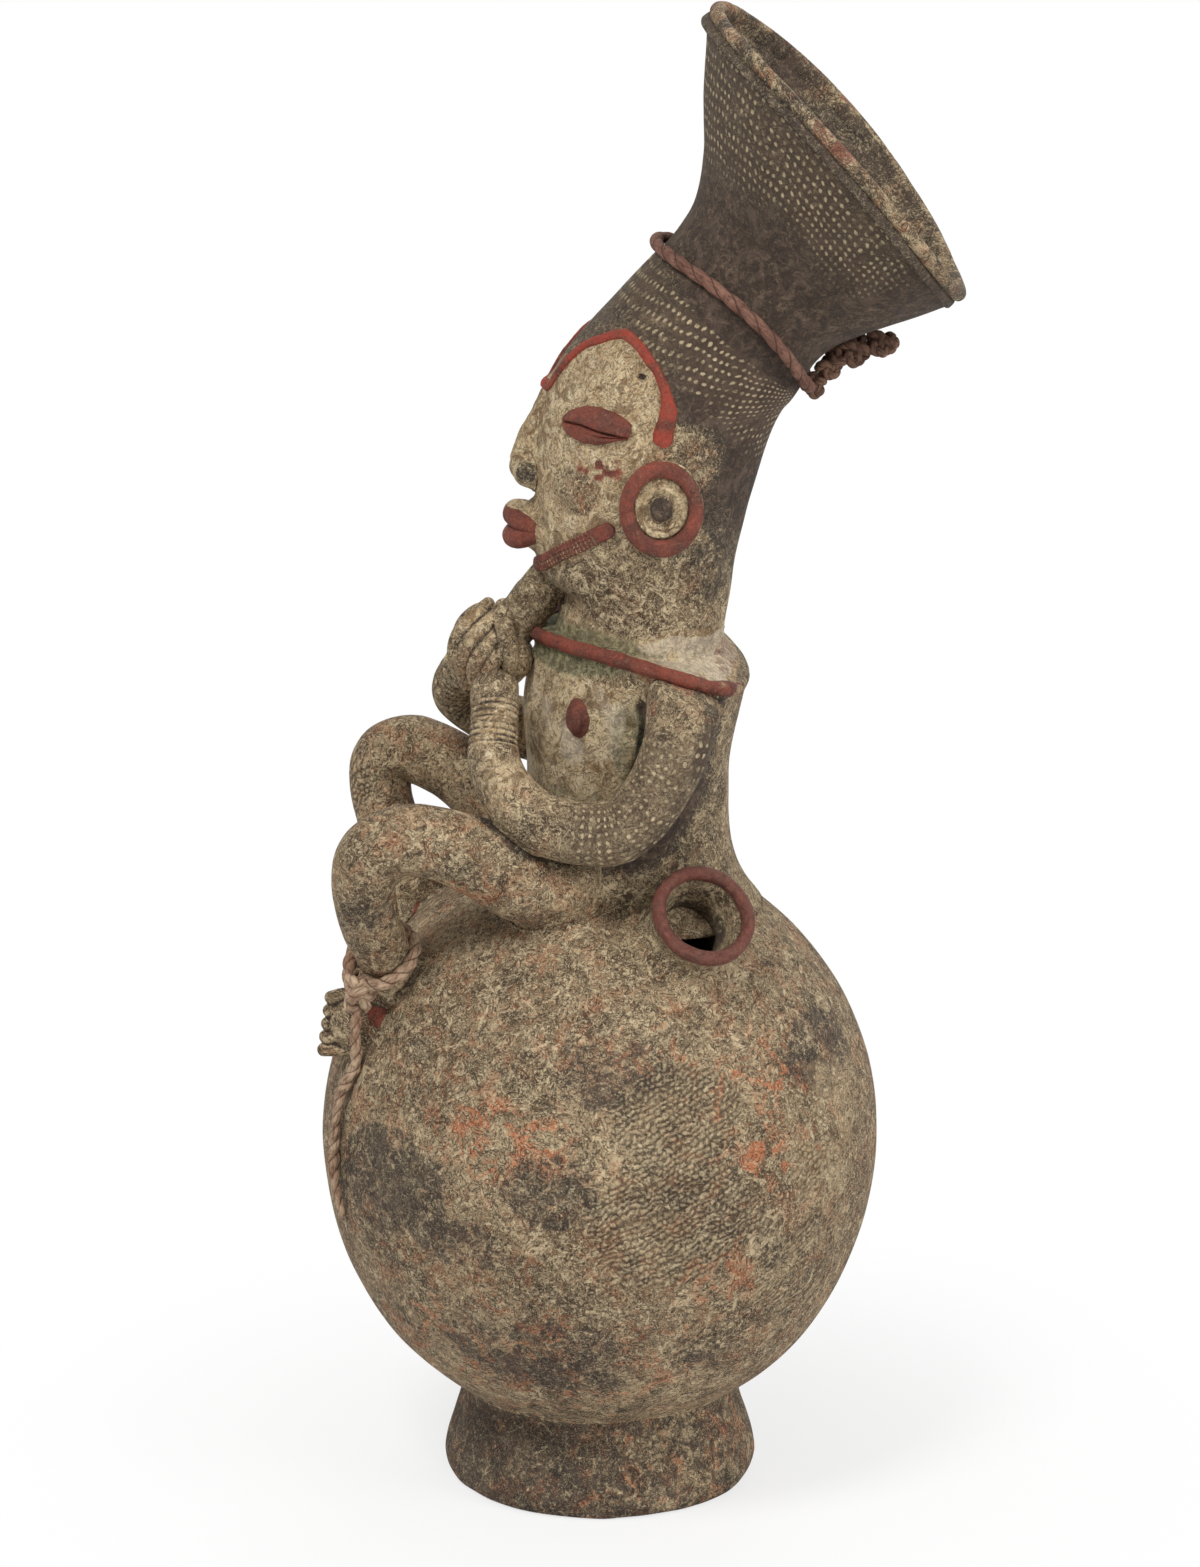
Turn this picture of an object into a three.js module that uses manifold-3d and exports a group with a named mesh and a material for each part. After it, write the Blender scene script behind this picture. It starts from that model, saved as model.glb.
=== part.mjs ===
// Anthropomorphic spouted pottery vessel: a seated figure on a round pot, its tall flared
// coiffure open as the filling mouth, with a short pouring spout on the pot's shoulder.
// Millimetres, +Z up. The figure faces -X, its left side is towards -Y, and the pot stands on Z = 0.
import * as THREE from "three";
import { mergeVertices } from "three/addons/utils/BufferGeometryUtils.js";
import Module from "manifold-3d";

const wasm = await Module();
wasm.setup();

// Clearance between neighbouring pieces, and the most that facets may leave a trimmed surface
const GAP = 0.3;
const SMOOTHING = 0.08;

// Pot: foot ring and round belly, on one upright axis set forward of the figure's axis
const POT_FORWARD = 15;
const FOOT_HEIGHT = 39;
const FOOT_BASE_RADIUS = 61;
const FOOT_BULGE = 2.5;
const FOOT_TOP_RADIUS = 55;
const FOOT_WALL = 11;
const BELLY_RADIUS = 112;
const BELLY_HALF_HEIGHT = 120;
const BELLY_SINK = 15;
const BELLY_WALL = 8;
const NECK_HOLE_RADIUS = 27;
const NECK_HOLE_REACH = 50;

// Pouring spout on the belly's left shoulder
const SPOUT_AZIMUTH = -54.7;
const SPOUT_RISE = 56.5;
const SPOUT_REACH = 23;
const SPOUT_ROOT_RADIUS = 18.5;
const SPOUT_WAIST_RADIUS = 16.5;
const SPOUT_RIM_RADIUS = 21.6;
const SPOUT_RIM_THICK = 6;
const SPOUT_BORE_RADIUS = 12.5;
const SPOUT_BORE_REACH = 40;
const SPOUT_SEAT = 12;
const SPOUT_LEAN = new THREE.Vector3(0.327, -0.666, 0.667);

// Torso, shoulders and head: heights of the joints along the hollow trunk
const TRUNK_WALL = 8;
const TORSO_HEIGHT = 81;
const WAIST_HALF_DEPTH = 39.8;
const WAIST_HALF_WIDTH = 41;
const CHEST_HALF_DEPTH = 42.6;
const CHEST_HALF_WIDTH = 49;
const YOKE_HEIGHT = 10;
const YOKE_OVERHANG = 1.5;
const SHOULDER_TILT = 12;
const SHOULDER_BOW = 7.5;
const NECK_HALF_DEPTH = 33.4;
const NECK_HALF_WIDTH = 35.5;
const HEAD_HEIGHT = 130.7;
const HEAD_HALF_WIDTH = 42.5;

// Coiffure: the head drawn out backwards into a flared mouth
const CORD_LINE_TILT = 43.4;
const CORD_LINE_HALF_DEPTH = 39.3;
const CORD_LINE_BOW = 8;
const CORD_LINE_LIST = 3;
const MOUTH_RADIUS = 74.8;
const MOUTH_TILT = 49;
const MOUTH_BOW = 7.2;
const MOUTH_LIST = 2.6;
const FLARE_LENGTH = 78;
const FLARE_LEAN = 33.1;
const FLARE_WALL = 7.5;
const RIM_THICK = 7.5;
const RIM_DEPTH = 8.5;

// Face and ears
const EYE_LENGTH = 27;
const EYE_HEIGHT = 15;
const EYE_PROUD = 4.2;
const SLIT_WIDTH = 1.4;
const NOSE_LENGTH = 30;
const NOSE_PROUD = 12;
const NOSE_WING_RADIUS = 6.6;
const LIP_HALF_WIDTH = 14;
const LIP_HEIGHT = 6.2;
const LIP_PROUD = 11.5;
const HAIRLINE_WIDTH = 6;
const HAIRLINE_PROUD = 1.8;
const BROW_FORWARD = 34;
const SCAR_WIDTH = 6.6;
const SCAR_PROUD = 1.9;
const EAR_RADIUS = 16.6;
const EAR_TALL_SHARE = 1.18;
const EAR_RING_WIDTH = 5.6;
const EAR_PROUD = 6;
const EAR_KNOB_RADIUS = 4.6;

// Beard, arms and hands
const CHIN_FORWARD = 32;
const CHIN_RISE = 25;
const BEARD_RADIUS = 9.4;
const ARM_RADIUS = 12.8;
const WRIST_RADIUS = 9.5;
const HAND_RADIUS = 12;
const FINGER_RADIUS = 3.4;
const NIPPLE_RADIUS = 4.4;
const RIDGE_RADIUS = 2.9;

// Legs and feet
const THIGH_RADIUS = 16.5;
const SHIN_RADIUS = 14.2;
const ANKLE_RADIUS = 10.6;
const KNEE_SPREAD = 64;
const ANKLE_SPREAD = 35;
const FOOT_LENGTH = 34;
const FOOT_DEPTH = 29;
const TOE_RADIUS = 3.1;
const FOOT_FORWARD = 8.5;
const FOOT_SEAT = 1.4;

// Cords
const NECK_CORD_RADIUS = 2.6;
const NECK_KNOT_RADIUS = 4.4;
const ROPE_RADIUS = 2.8;
const ROPE_KNOT_HALF_WIDTH = 4.6;
const ROPE_KNOT_HALF_HEIGHT = 7.5;
const ROPE_SLACK = 0.3;
const ROPE_ABOVE_ANKLE = 8;
const ROPE_HANG = 25;
const LOOP_STEPS = 24;
const LOOP_SIDES = 6;
const CORD_SIDES = 8;

// Facets round a trunk section, round a limb and along it
const TRUNK_SIDES = 24;
const LIMB_SIDES = 10;
const POT_SIDES = 32;

// Places that follow from the sizes above
const BELLY_CENTRE_Z = FOOT_HEIGHT - BELLY_SINK + BELLY_HALF_HEIGHT;
const SEAT_Z = BELLY_CENTRE_Z + BELLY_HALF_HEIGHT;
const BELLY_FRONT_X = -POT_FORWARD - BELLY_RADIUS;
const POT_CENTRE = new THREE.Vector3(-POT_FORWARD, 0, BELLY_CENTRE_Z);
const TORSO_TOP_Z = SEAT_Z + TORSO_HEIGHT;
const NECK_Z = TORSO_TOP_Z + YOKE_HEIGHT;
const CORD_LINE_Z = NECK_Z + HEAD_HEIGHT;
const UP = new THREE.Vector3(0, 0, 1);

const degrees = (angle) => (angle * Math.PI) / 180;
const point = (x, y, z) => new THREE.Vector3(x, y, z);

// Materials: unglazed smoked clay, red ochre, pale slip and old cord
const clayPaint = (color, roughness) => new THREE.MeshStandardMaterial({ color, roughness, metalness: 0 });
const paints = {
  clay: clayPaint(0x6f6250, 0.9),
  smoke: clayPaint(0x4a4036, 0.85),
  slip: clayPaint(0xa8977a, 0.9),
  ochre: clayPaint(0x8c3a2c, 0.75),
  rope: clayPaint(0x8d6a52, 0.95),
  cord: clayPaint(0x6b3b2b, 0.9),
  darkCord: clayPaint(0x3c2822, 0.95),
};

// Closed surface over a grid of points, wrapped round each ring; ends are capped or joined to each other
function gridGeometry(rings, joinEnds) {
  const count = rings[0].length;
  const positions = rings.flat().flatMap((p) => [p.x, p.y, p.z]);
  const index = [];
  const last = joinEnds ? rings.length : rings.length - 1;
  for (let i = 0; i < last; i++) {
    const next = (i + 1) % rings.length;
    for (let j = 0; j < count; j++) {
      const side = (j + 1) % count;
      const corners = [i * count + j, i * count + side, next * count + j, next * count + side];
      index.push(corners[0], corners[1], corners[2]);
      index.push(corners[1], corners[3], corners[2]);
    }
  }
  if (!joinEnds) {
    for (const [ring, first] of [[0, true], [rings.length - 1, false]]) {
      const centre = new THREE.Vector3();
      for (const p of rings[ring]) {
        centre.addScaledVector(p, 1 / count);
      }
      const hub = positions.length / 3;
      positions.push(centre.x, centre.y, centre.z);
      for (let j = 0; j < count; j++) {
        const a = ring * count + j;
        const b = ring * count + ((j + 1) % count);
        index.push(...(first ? [hub, b, a] : [hub, a, b]));
      }
    }
  }
  const geometry = new THREE.BufferGeometry();
  geometry.setAttribute("position", new THREE.Float32BufferAttribute(positions, 3));
  geometry.setIndex(index);
  return faceOutwards(geometry);
}

// Turns a closed surface right side out
function faceOutwards(geometry) {
  const p = geometry.attributes.position;
  const index = geometry.index.array;
  const corner = [0, 1, 2].map(() => new THREE.Vector3());
  let volume = 0;
  for (let i = 0; i < index.length; i += 3) {
    corner.forEach((c, k) => c.fromBufferAttribute(p, index[i + k]));
    volume += corner[0].dot(corner[1].cross(corner[2]));
  }
  if (volume < 0) {
    for (let i = 0; i < index.length; i += 3) {
      [index[i], index[i + 1]] = [index[i + 1], index[i]];
    }
  }
  return geometry;
}

// Solid for joins and cuts, from any closed geometry
function solidOf(geometry) {
  const bare = geometry.clone();
  bare.deleteAttribute("normal");
  bare.deleteAttribute("uv");
  const merged = mergeVertices(bare, 1e-4);
  const mesh = new wasm.Mesh({
    numProp: 3,
    vertProperties: new Float32Array(merged.attributes.position.array),
    triVerts: new Uint32Array(merged.index.array),
  });
  return new wasm.Manifold(mesh);
}

// Largest connected body of a solid, as a geometry
function geometryOf(solid) {
  const bodies = solid.decompose();
  bodies.sort((a, b) => b.volume() - a.volume());
  const mesh = bodies[0].simplify(SMOOTHING).getMesh();
  const geometry = new THREE.BufferGeometry();
  const positions = new Float32Array(mesh.numVert * 3);
  for (let i = 0; i < mesh.numVert; i++) {
    positions.set(mesh.vertProperties.subarray(i * mesh.numProp, i * mesh.numProp + 3), i * 3);
  }
  geometry.setAttribute("position", new THREE.BufferAttribute(positions, 3));
  geometry.setIndex(new THREE.BufferAttribute(new Uint32Array(mesh.triVerts), 1));
  return geometry;
}

const cut = (solid, ...others) => others.reduce((rest, other) => rest.subtract(other), solid);
const join = (...solids) => solids.reduce((whole, other) => whole.add(other));

const vessel = new THREE.Group();

// Adds one named piece to the vessel
function addPiece(name, geometry, material) {
  const smooth = geometry.index ? geometry.toNonIndexed() : geometry;
  smooth.computeVertexNormals();
  const mesh = new THREE.Mesh(smooth, material);
  mesh.name = name;
  vessel.add(mesh);
  return mesh;
}

const addSolid = (name, solid, material) => addPiece(name, geometryOf(solid), material);

// Turned shape about an upright axis through a place, from [radius, height] pairs
function turned(profile, sides, place, axis = UP) {
  const outline = profile.map(([radius, height]) => new THREE.Vector2(radius, height));
  const geometry = new THREE.LatheGeometry([...outline, outline[0]], sides);
  geometry.rotateX(Math.PI / 2);
  geometry.applyQuaternion(new THREE.Quaternion().setFromUnitVectors(UP, axis.clone().normalize()));
  geometry.translate(place.x, place.y, place.z);
  geometry.deleteAttribute("normal");
  geometry.deleteAttribute("uv");
  return faceOutwards(mergeVertices(geometry, 1e-4));
}

// Ellipsoid with its half sizes along X, Y and Z, turned and placed
function ellipsoid(place, halves, turn = new THREE.Euler(), across = 14, down = 8) {
  const geometry = new THREE.SphereGeometry(1, across, down);
  geometry.scale(halves.x, halves.y, halves.z);
  geometry.applyQuaternion(new THREE.Quaternion().setFromEuler(turn));
  geometry.translate(place.x, place.y, place.z);
  return solidOf(geometry);
}

// Tube along a smooth curve through points, with a radius at each point, rounded at its ends
function limb(places, radii, { sides = LIMB_SIDES, steps = 20, grow = 0 } = {}) {
  const curve = new THREE.CatmullRomCurve3(places, false, "centripetal");
  const frames = curve.computeFrenetFrames(steps, false);
  const radiusAt = (share) => {
    const along = share * (radii.length - 1);
    const k = Math.min(Math.floor(along), radii.length - 2);
    return THREE.MathUtils.lerp(radii[k], radii[k + 1], along - k) + grow;
  };
  const ring = (centre, k, radius) =>
    Array.from({ length: sides }, (_, j) => {
      const angle = (2 * Math.PI * j) / sides;
      return centre
        .clone()
        .addScaledVector(frames.normals[k], Math.cos(angle) * radius)
        .addScaledVector(frames.binormals[k], Math.sin(angle) * radius);
    });
  const rings = [];
  for (let k = 0; k <= steps; k++) {
    const share = k / steps;
    const centre = curve.getPointAt(share);
    const radius = radiusAt(share);
    const end = k === 0 ? -1 : k === steps ? 1 : 0;
    const tip = centre.clone().addScaledVector(frames.tangents[k], end * radius * 0.5);
    if (end < 0) {
      rings.push(ring(tip, k, radius * 0.7));
    }
    rings.push(ring(centre, k, radius));
    if (end > 0) {
      rings.push(ring(tip, k, radius * 0.7));
    }
  }
  return gridGeometry(rings, false);
}

// Free or wound cord: one section extruded along a smooth curve
function cordGeometry(curve, radius, sides, steps) {
  const section = new THREE.Shape();
  for (let j = 0; j < sides; j++) {
    const angle = (2 * Math.PI * j) / sides;
    const corner = [Math.cos(angle) * radius, Math.sin(angle) * radius];
    section[j ? "lineTo" : "moveTo"](...corner);
  }
  section.closePath();
  const geometry = new THREE.ExtrudeGeometry(section, { steps, extrudePath: curve, bevelEnabled: false });
  geometry.deleteAttribute("normal");
  geometry.deleteAttribute("uv");
  return faceOutwards(mergeVertices(geometry, 1e-4));
}

// Trunk sections: place, half depth along X, half width along Y, backward tilt and egg shape.
// A tilted section turns about Y, so that its front edge rises. A bow lifts both of its sides,
// and a list lifts its left side and lowers its right one.
const section = (x, z, depth, width, tilt = 0, egg = 0, bow = 0, list = 0) =>
  ({ x, z, depth, width, tilt, egg, bow, list });

function sectionPoint(s, angle, grow) {
  const tilt = degrees(s.tilt);
  const along = (s.depth + grow) * Math.cos(angle);
  const across = (s.width + grow) * Math.sin(angle) * (1 - s.egg * Math.cos(angle));
  const lift = s.bow * Math.sin(angle) ** 2 + s.list * Math.sin(angle);
  return point(
    s.x - along * Math.cos(tilt) + lift * Math.sin(tilt),
    -across,
    s.z + along * Math.sin(tilt) + lift * Math.cos(tilt),
  );
}

// Even run of sections on a smooth curve through the given ones
function smoothSections(sections, count) {
  const spine = new THREE.CatmullRomCurve3(sections.map((s) => point(s.x, s.tilt, s.z)), false, "catmullrom", 0.5);
  const size = new THREE.CatmullRomCurve3(sections.map((s) => point(s.depth, s.width, s.egg)), false, "catmullrom", 0.5);
  const rise = new THREE.CatmullRomCurve3(sections.map((s) => point(s.bow, s.list, 0)), false, "catmullrom", 0.5);
  return Array.from({ length: count + 1 }, (_, k) => {
    const a = spine.getPoint(k / count);
    const b = size.getPoint(k / count);
    const c = rise.getPoint(k / count);
    return section(a.x, a.z, b.x, b.y, a.y, b.z, c.x, c.y);
  });
}

const angles = (sides) => Array.from({ length: sides }, (_, j) => (2 * Math.PI * j) / sides);

// Open tube of clay through sections, with its wall inside
function shell(sections, wall, grow = 0, sides = TRUNK_SIDES) {
  const rows = [...sections.map((s) => [s, grow]), ...[...sections].reverse().map((s) => [s, -wall])];
  return gridGeometry(rows.map(([s, g]) => angles(sides).map((angle) => sectionPoint(s, angle, g))), true);
}

// Filled trunk through sections, for cutting what sits on it
function filled(sections, grow, sides = TRUNK_SIDES) {
  return solidOf(gridGeometry(sections.map((s) => angles(sides).map((angle) => sectionPoint(s, angle, grow))), false));
}

// A section moved a little along its own axis
function lifted(s, distance) {
  const tilt = degrees(s.tilt);
  return { ...s, x: s.x + distance * Math.sin(tilt), z: s.z + distance * Math.cos(tilt) };
}

// Belly surface: a place on it, its outward direction, and the filled belly for cutting
function onBelly(azimuth, rise, proud = 0) {
  const a = degrees(azimuth);
  const r = degrees(rise);
  const place = point(
    BELLY_RADIUS * Math.cos(r) * Math.cos(a),
    BELLY_RADIUS * Math.cos(r) * Math.sin(a),
    BELLY_HALF_HEIGHT * Math.sin(r),
  );
  const out = point(
    place.x / BELLY_RADIUS ** 2,
    place.y / BELLY_RADIUS ** 2,
    place.z / BELLY_HALF_HEIGHT ** 2,
  ).normalize();
  return place.addScaledVector(out, proud).add(POT_CENTRE);
}

// Arc of the belly's meridian from one rise to another, as [radius, height] pairs
function bellyArc(from, to, inset, steps) {
  return Array.from({ length: steps + 1 }, (_, k) => {
    const r = degrees(THREE.MathUtils.lerp(from, to, k / steps));
    return [
      Math.max(0, (BELLY_RADIUS - inset) * Math.cos(r)),
      (BELLY_HALF_HEIGHT - inset) * Math.sin(r),
    ];
  });
}

// Filled belly, in the facets of the bowl and dome, for cutting what sits on it
const seamRise = (Math.asin(GAP / (BELLY_HALF_HEIGHT - BELLY_WALL)) * 180) / Math.PI;
const bellyOutline = [...bellyArc(-90, 0, -GAP * 1.1, 8), ...bellyArc(seamRise, 90, -GAP * 1.1, 8)];
const bellyCutter = solidOf(turned([...bellyOutline, [0, 0]], POT_SIDES, POT_CENTRE));

// Foot ring: a hollow cone with a rounded foot, its top trimmed to the belly
const footProfile = [
  [FOOT_BASE_RADIUS - FOOT_WALL, 0],
  [FOOT_BASE_RADIUS, 0],
  [FOOT_BASE_RADIUS + FOOT_BULGE, 6],
  [FOOT_BASE_RADIUS + FOOT_BULGE * 0.6, 14],
  [(FOOT_BASE_RADIUS + FOOT_TOP_RADIUS) / 2, FOOT_HEIGHT * 0.7],
  [FOOT_TOP_RADIUS, FOOT_HEIGHT + 4],
  [FOOT_TOP_RADIUS - FOOT_WALL, FOOT_HEIGHT + 4],
];
const potFoot = point(POT_CENTRE.x, 0, 0);
addSolid("foot_ring", cut(solidOf(turned(footProfile, POT_SIDES, potFoot)), bellyCutter), paints.clay);

// Belly: a lower bowl and an upper dome, luted at the widest girth
const bowlProfile = [...bellyArc(-90, 0, 0, 8), ...bellyArc(0, -90, BELLY_WALL, 5)];
addPiece("belly_bowl", turned(bowlProfile, POT_SIDES, POT_CENTRE), paints.clay);

const spoutAxis = SPOUT_LEAN.clone().normalize();
const spoutRoot = onBelly(SPOUT_AZIMUTH, SPOUT_RISE);
const domeProfile = [...bellyArc(seamRise, 90, 0, 8), ...bellyArc(90, seamRise, BELLY_WALL, 5)];
const neckHole = solidOf(
  turned([[0, -NECK_HOLE_REACH], [NECK_HOLE_RADIUS, -NECK_HOLE_REACH], [NECK_HOLE_RADIUS, NECK_HOLE_REACH], [0, NECK_HOLE_REACH]],
    28, point(0, 0, SEAT_Z)),
);
const spoutBore = solidOf(
  turned(
    [[0, -SPOUT_BORE_REACH], [SPOUT_BORE_RADIUS, -SPOUT_BORE_REACH], [SPOUT_BORE_RADIUS, SPOUT_BORE_REACH], [0, SPOUT_BORE_REACH]],
    24,
    spoutRoot,
    spoutAxis,
  ),
);
addSolid("belly_dome", cut(solidOf(turned(domeProfile, POT_SIDES, POT_CENTRE)), neckHole, spoutBore), paints.clay);

// Spout: a short waisted tube, and the thick painted ring on its lip
const spoutLip = SPOUT_REACH - SPOUT_RIM_THICK;
const spoutProfile = [
  [SPOUT_BORE_RADIUS + 1, -SPOUT_SEAT],
  [SPOUT_ROOT_RADIUS + 1, -SPOUT_SEAT],
  [SPOUT_ROOT_RADIUS, 0],
  [SPOUT_WAIST_RADIUS, spoutLip * 0.45],
  [SPOUT_RIM_RADIUS - 3, spoutLip - GAP],
  [SPOUT_BORE_RADIUS + 1, spoutLip - GAP],
];
const spoutBody = solidOf(turned(spoutProfile, 20, spoutRoot, spoutAxis));
addSolid("spout", cut(spoutBody, bellyCutter), paints.clay);
const lipMiddle = (SPOUT_RIM_RADIUS + SPOUT_BORE_RADIUS + 1.5) / 2;
const lipHalf = (SPOUT_RIM_RADIUS - SPOUT_BORE_RADIUS - 1.5) / 2;
const lipProfile = angles(8).map((angle) => [
  lipMiddle + lipHalf * Math.cos(angle),
  spoutLip + (SPOUT_RIM_THICK / 2) * (1 + Math.sin(angle)),
]);
addPiece("spout_rim", turned(lipProfile, 20, spoutRoot, spoutAxis), paints.ochre);

// Trunk sections, from the seat upwards
const shoulderEgg = 0.3;
const torsoTop = section(1, TORSO_TOP_Z - 2.5, CHEST_HALF_DEPTH, CHEST_HALF_WIDTH, SHOULDER_TILT, shoulderEgg, SHOULDER_BOW);
const torsoSections = smoothSections(
  [
    section(0, SEAT_Z - 20, WAIST_HALF_DEPTH + 9, WAIST_HALF_WIDTH + 12),
    section(-2, SEAT_Z - 2, WAIST_HALF_DEPTH + 2, WAIST_HALF_WIDTH + 3),
    section(-3.2, SEAT_Z + TORSO_HEIGHT * 0.26, WAIST_HALF_DEPTH, WAIST_HALF_WIDTH),
    section(-3.2, SEAT_Z + TORSO_HEIGHT * 0.49, WAIST_HALF_DEPTH, WAIST_HALF_WIDTH + 1.5, 1.4, 0.08),
    section(-2.3, SEAT_Z + TORSO_HEIGHT * 0.73, CHEST_HALF_DEPTH - 0.4, CHEST_HALF_WIDTH - 3.5, 5, 0.2, SHOULDER_BOW * 0.4),
    torsoTop,
  ],
  6,
);
const ridgeLine = { ...lifted(torsoTop, YOKE_HEIGHT / 2), depth: CHEST_HALF_DEPTH + YOKE_OVERHANG,
  width: CHEST_HALF_WIDTH + YOKE_OVERHANG };
const neckBase = section(0.75, NECK_Z - 1, NECK_HALF_DEPTH, NECK_HALF_WIDTH + 0.5, SHOULDER_TILT * 0.6, 0, 1);
const cordLine = section(37, CORD_LINE_Z - 0.7, CORD_LINE_HALF_DEPTH - 1, CORD_LINE_HALF_DEPTH, CORD_LINE_TILT, 0, CORD_LINE_BOW,
  CORD_LINE_LIST);
const headAt = (share) => NECK_Z + HEAD_HEIGHT * share;
const headSections = smoothSections(
  [
    lifted(neckBase, GAP),
    section(1.3, headAt(0.06), NECK_HALF_DEPTH, NECK_HALF_WIDTH, 4.5, 0, 0.5),
    section(1.5, headAt(0.143), NECK_HALF_DEPTH + 2.1, NECK_HALF_WIDTH + 0.5),
    section(-0.4, headAt(0.216), NECK_HALF_DEPTH + 5.7, NECK_HALF_WIDTH + 2.5, -3.7),
    section(0.4, headAt(0.33), NECK_HALF_DEPTH + 7.8, HEAD_HALF_WIDTH - 2, -2),
    section(2, headAt(0.445), NECK_HALF_DEPTH + 9.1, HEAD_HALF_WIDTH - 1, 2),
    section(5.2, headAt(0.59), NECK_HALF_DEPTH + 12, HEAD_HALF_WIDTH, 0.6),
    section(9.7, headAt(0.713), NECK_HALF_DEPTH + 13.6, HEAD_HALF_WIDTH, 2.5),
    section(15.2, headAt(0.793), NECK_HALF_DEPTH + 12.5, HEAD_HALF_WIDTH - 0.5, 9.5),
    section(22.9, headAt(0.871), NECK_HALF_DEPTH + 9.2, HEAD_HALF_WIDTH - 1.5, 19, 0, CORD_LINE_BOW * 0.3, CORD_LINE_LIST * 0.3),
    section(30.5, headAt(0.94), NECK_HALF_DEPTH + 6.1, CORD_LINE_HALF_DEPTH + 0.5, 31, 0, CORD_LINE_BOW * 0.65, CORD_LINE_LIST * 0.65),
    cordLine,
  ],
  12,
);
const flareAxis = point(Math.sin(degrees(FLARE_LEAN)), 0, Math.cos(degrees(FLARE_LEAN)));
const seamNormal = point(Math.sin(degrees(CORD_LINE_TILT)), 0, Math.cos(degrees(CORD_LINE_TILT)));
const flareBack = point(flareAxis.z, 0, -flareAxis.x);
const flareAt = (share, drift, depth, width, tilt, bow = 0, list = 0) => {
  const place = point(36.2, 0, CORD_LINE_Z).addScaledVector(seamNormal, GAP);
  place.addScaledVector(flareAxis, FLARE_LENGTH * share).addScaledVector(flareBack, drift);
  return section(place.x, place.z, depth, width, tilt, 0, bow, list);
};
const mouthMiddle = flareAt(1, 0.4, MOUTH_RADIUS - 0.5, MOUTH_RADIUS, MOUTH_TILT, MOUTH_BOW, MOUTH_LIST);
const flareSections = smoothSections(
  [
    lifted(cordLine, GAP),
    flareAt(0.12, 1.4, CORD_LINE_HALF_DEPTH - 1.4, CORD_LINE_HALF_DEPTH + 0.3, 46, CORD_LINE_BOW, CORD_LINE_LIST),
    flareAt(0.26, 2.2, CORD_LINE_HALF_DEPTH + 0.8, CORD_LINE_HALF_DEPTH + 3.5, 47.3, MOUTH_BOW + 0.6, CORD_LINE_LIST),
    flareAt(0.43, 2.4, CORD_LINE_HALF_DEPTH + 7.6, CORD_LINE_HALF_DEPTH + 11, 47.6, MOUTH_BOW, CORD_LINE_LIST),
    flareAt(0.68, 0.3, MOUTH_RADIUS - 14, MOUTH_RADIUS - 12, 48.6, MOUTH_BOW, MOUTH_LIST),
    flareAt(0.9, -0.9, MOUTH_RADIUS - 2.6, MOUTH_RADIUS - 2, MOUTH_TILT, MOUTH_BOW, MOUTH_LIST),
  ],
  7,
);

const yokeSlope = section(0.9, NECK_Z - 3, (NECK_HALF_DEPTH + CHEST_HALF_DEPTH) / 2,
  (NECK_HALF_WIDTH + CHEST_HALF_WIDTH) / 2, SHOULDER_TILT * 0.8, shoulderEgg / 2, SHOULDER_BOW * 0.55);

// Filled trunk for cutting and seating the pieces on it
const lowTorso = [section(0, SEAT_Z - 40, WAIST_HALF_DEPTH, WAIST_HALF_WIDTH), ...torsoSections];
const upperTrunk = [ridgeLine, yokeSlope, neckBase, ...headSections.slice(1), ...flareSections.slice(1)];
const trunkFilled = (grow) => filled([...lowTorso, ...upperTrunk], grow);
const trunkCutter = trunkFilled(GAP);

const spoutCutter = solidOf(
  turned(
    [[0, -SPOUT_SEAT - 2], [SPOUT_ROOT_RADIUS + 1 + GAP, -SPOUT_SEAT - 2], [SPOUT_ROOT_RADIUS + GAP, 0], [SPOUT_RIM_RADIUS + GAP, spoutLip - 2],
      [SPOUT_RIM_RADIUS + GAP, SPOUT_REACH + 2], [0, SPOUT_REACH + 2]],
    28,
    spoutRoot,
    spoutAxis,
  ),
);
addSolid("torso", cut(solidOf(shell(torsoSections, TRUNK_WALL)), bellyCutter, spoutCutter), paints.clay);

// Shoulder yoke: a sloping shelf from the ridge line in to the neck
const yokeRows = [
  [lifted(torsoTop, GAP), -TRUNK_WALL],
  [lifted(torsoTop, GAP), 0],
  [ridgeLine, 0],
  [yokeSlope, 0],
  [neckBase, 0],
  [neckBase, -TRUNK_WALL],
];
addPiece("shoulder_yoke", gridGeometry(yokeRows.map(([s, grow]) => angles(TRUNK_SIDES).map((a) => sectionPoint(s, a, grow))), true), paints.slip);

addPiece("head", shell(headSections, TRUNK_WALL), paints.clay);

// Coiffure flare, with a thick coil of clay on its lip
const rimSeat = lifted(mouthMiddle, -RIM_DEPTH);
const flareTop = { ...rimSeat, depth: MOUTH_RADIUS - 1.1, width: MOUTH_RADIUS - 0.6 };
addPiece("coiffure_flare", shell([...flareSections.slice(0, -1), flareTop], FLARE_WALL), paints.smoke);
const rimOutline = [[-0.4, 0], [0.3, RIM_DEPTH * 0.25], [0, RIM_DEPTH * 0.75], [-1.6, RIM_DEPTH], [-RIM_THICK * 0.7, RIM_DEPTH * 0.9],
  [-RIM_THICK, 0]];
const rimRows = rimOutline.map(([across, height]) => [lifted(rimSeat, GAP + height), across]);
addPiece("coiffure_rim", gridGeometry(rimRows.map(([s, grow]) => angles(TRUNK_SIDES).map((a) => sectionPoint(s, a, grow))), true), paints.smoke);

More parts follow.
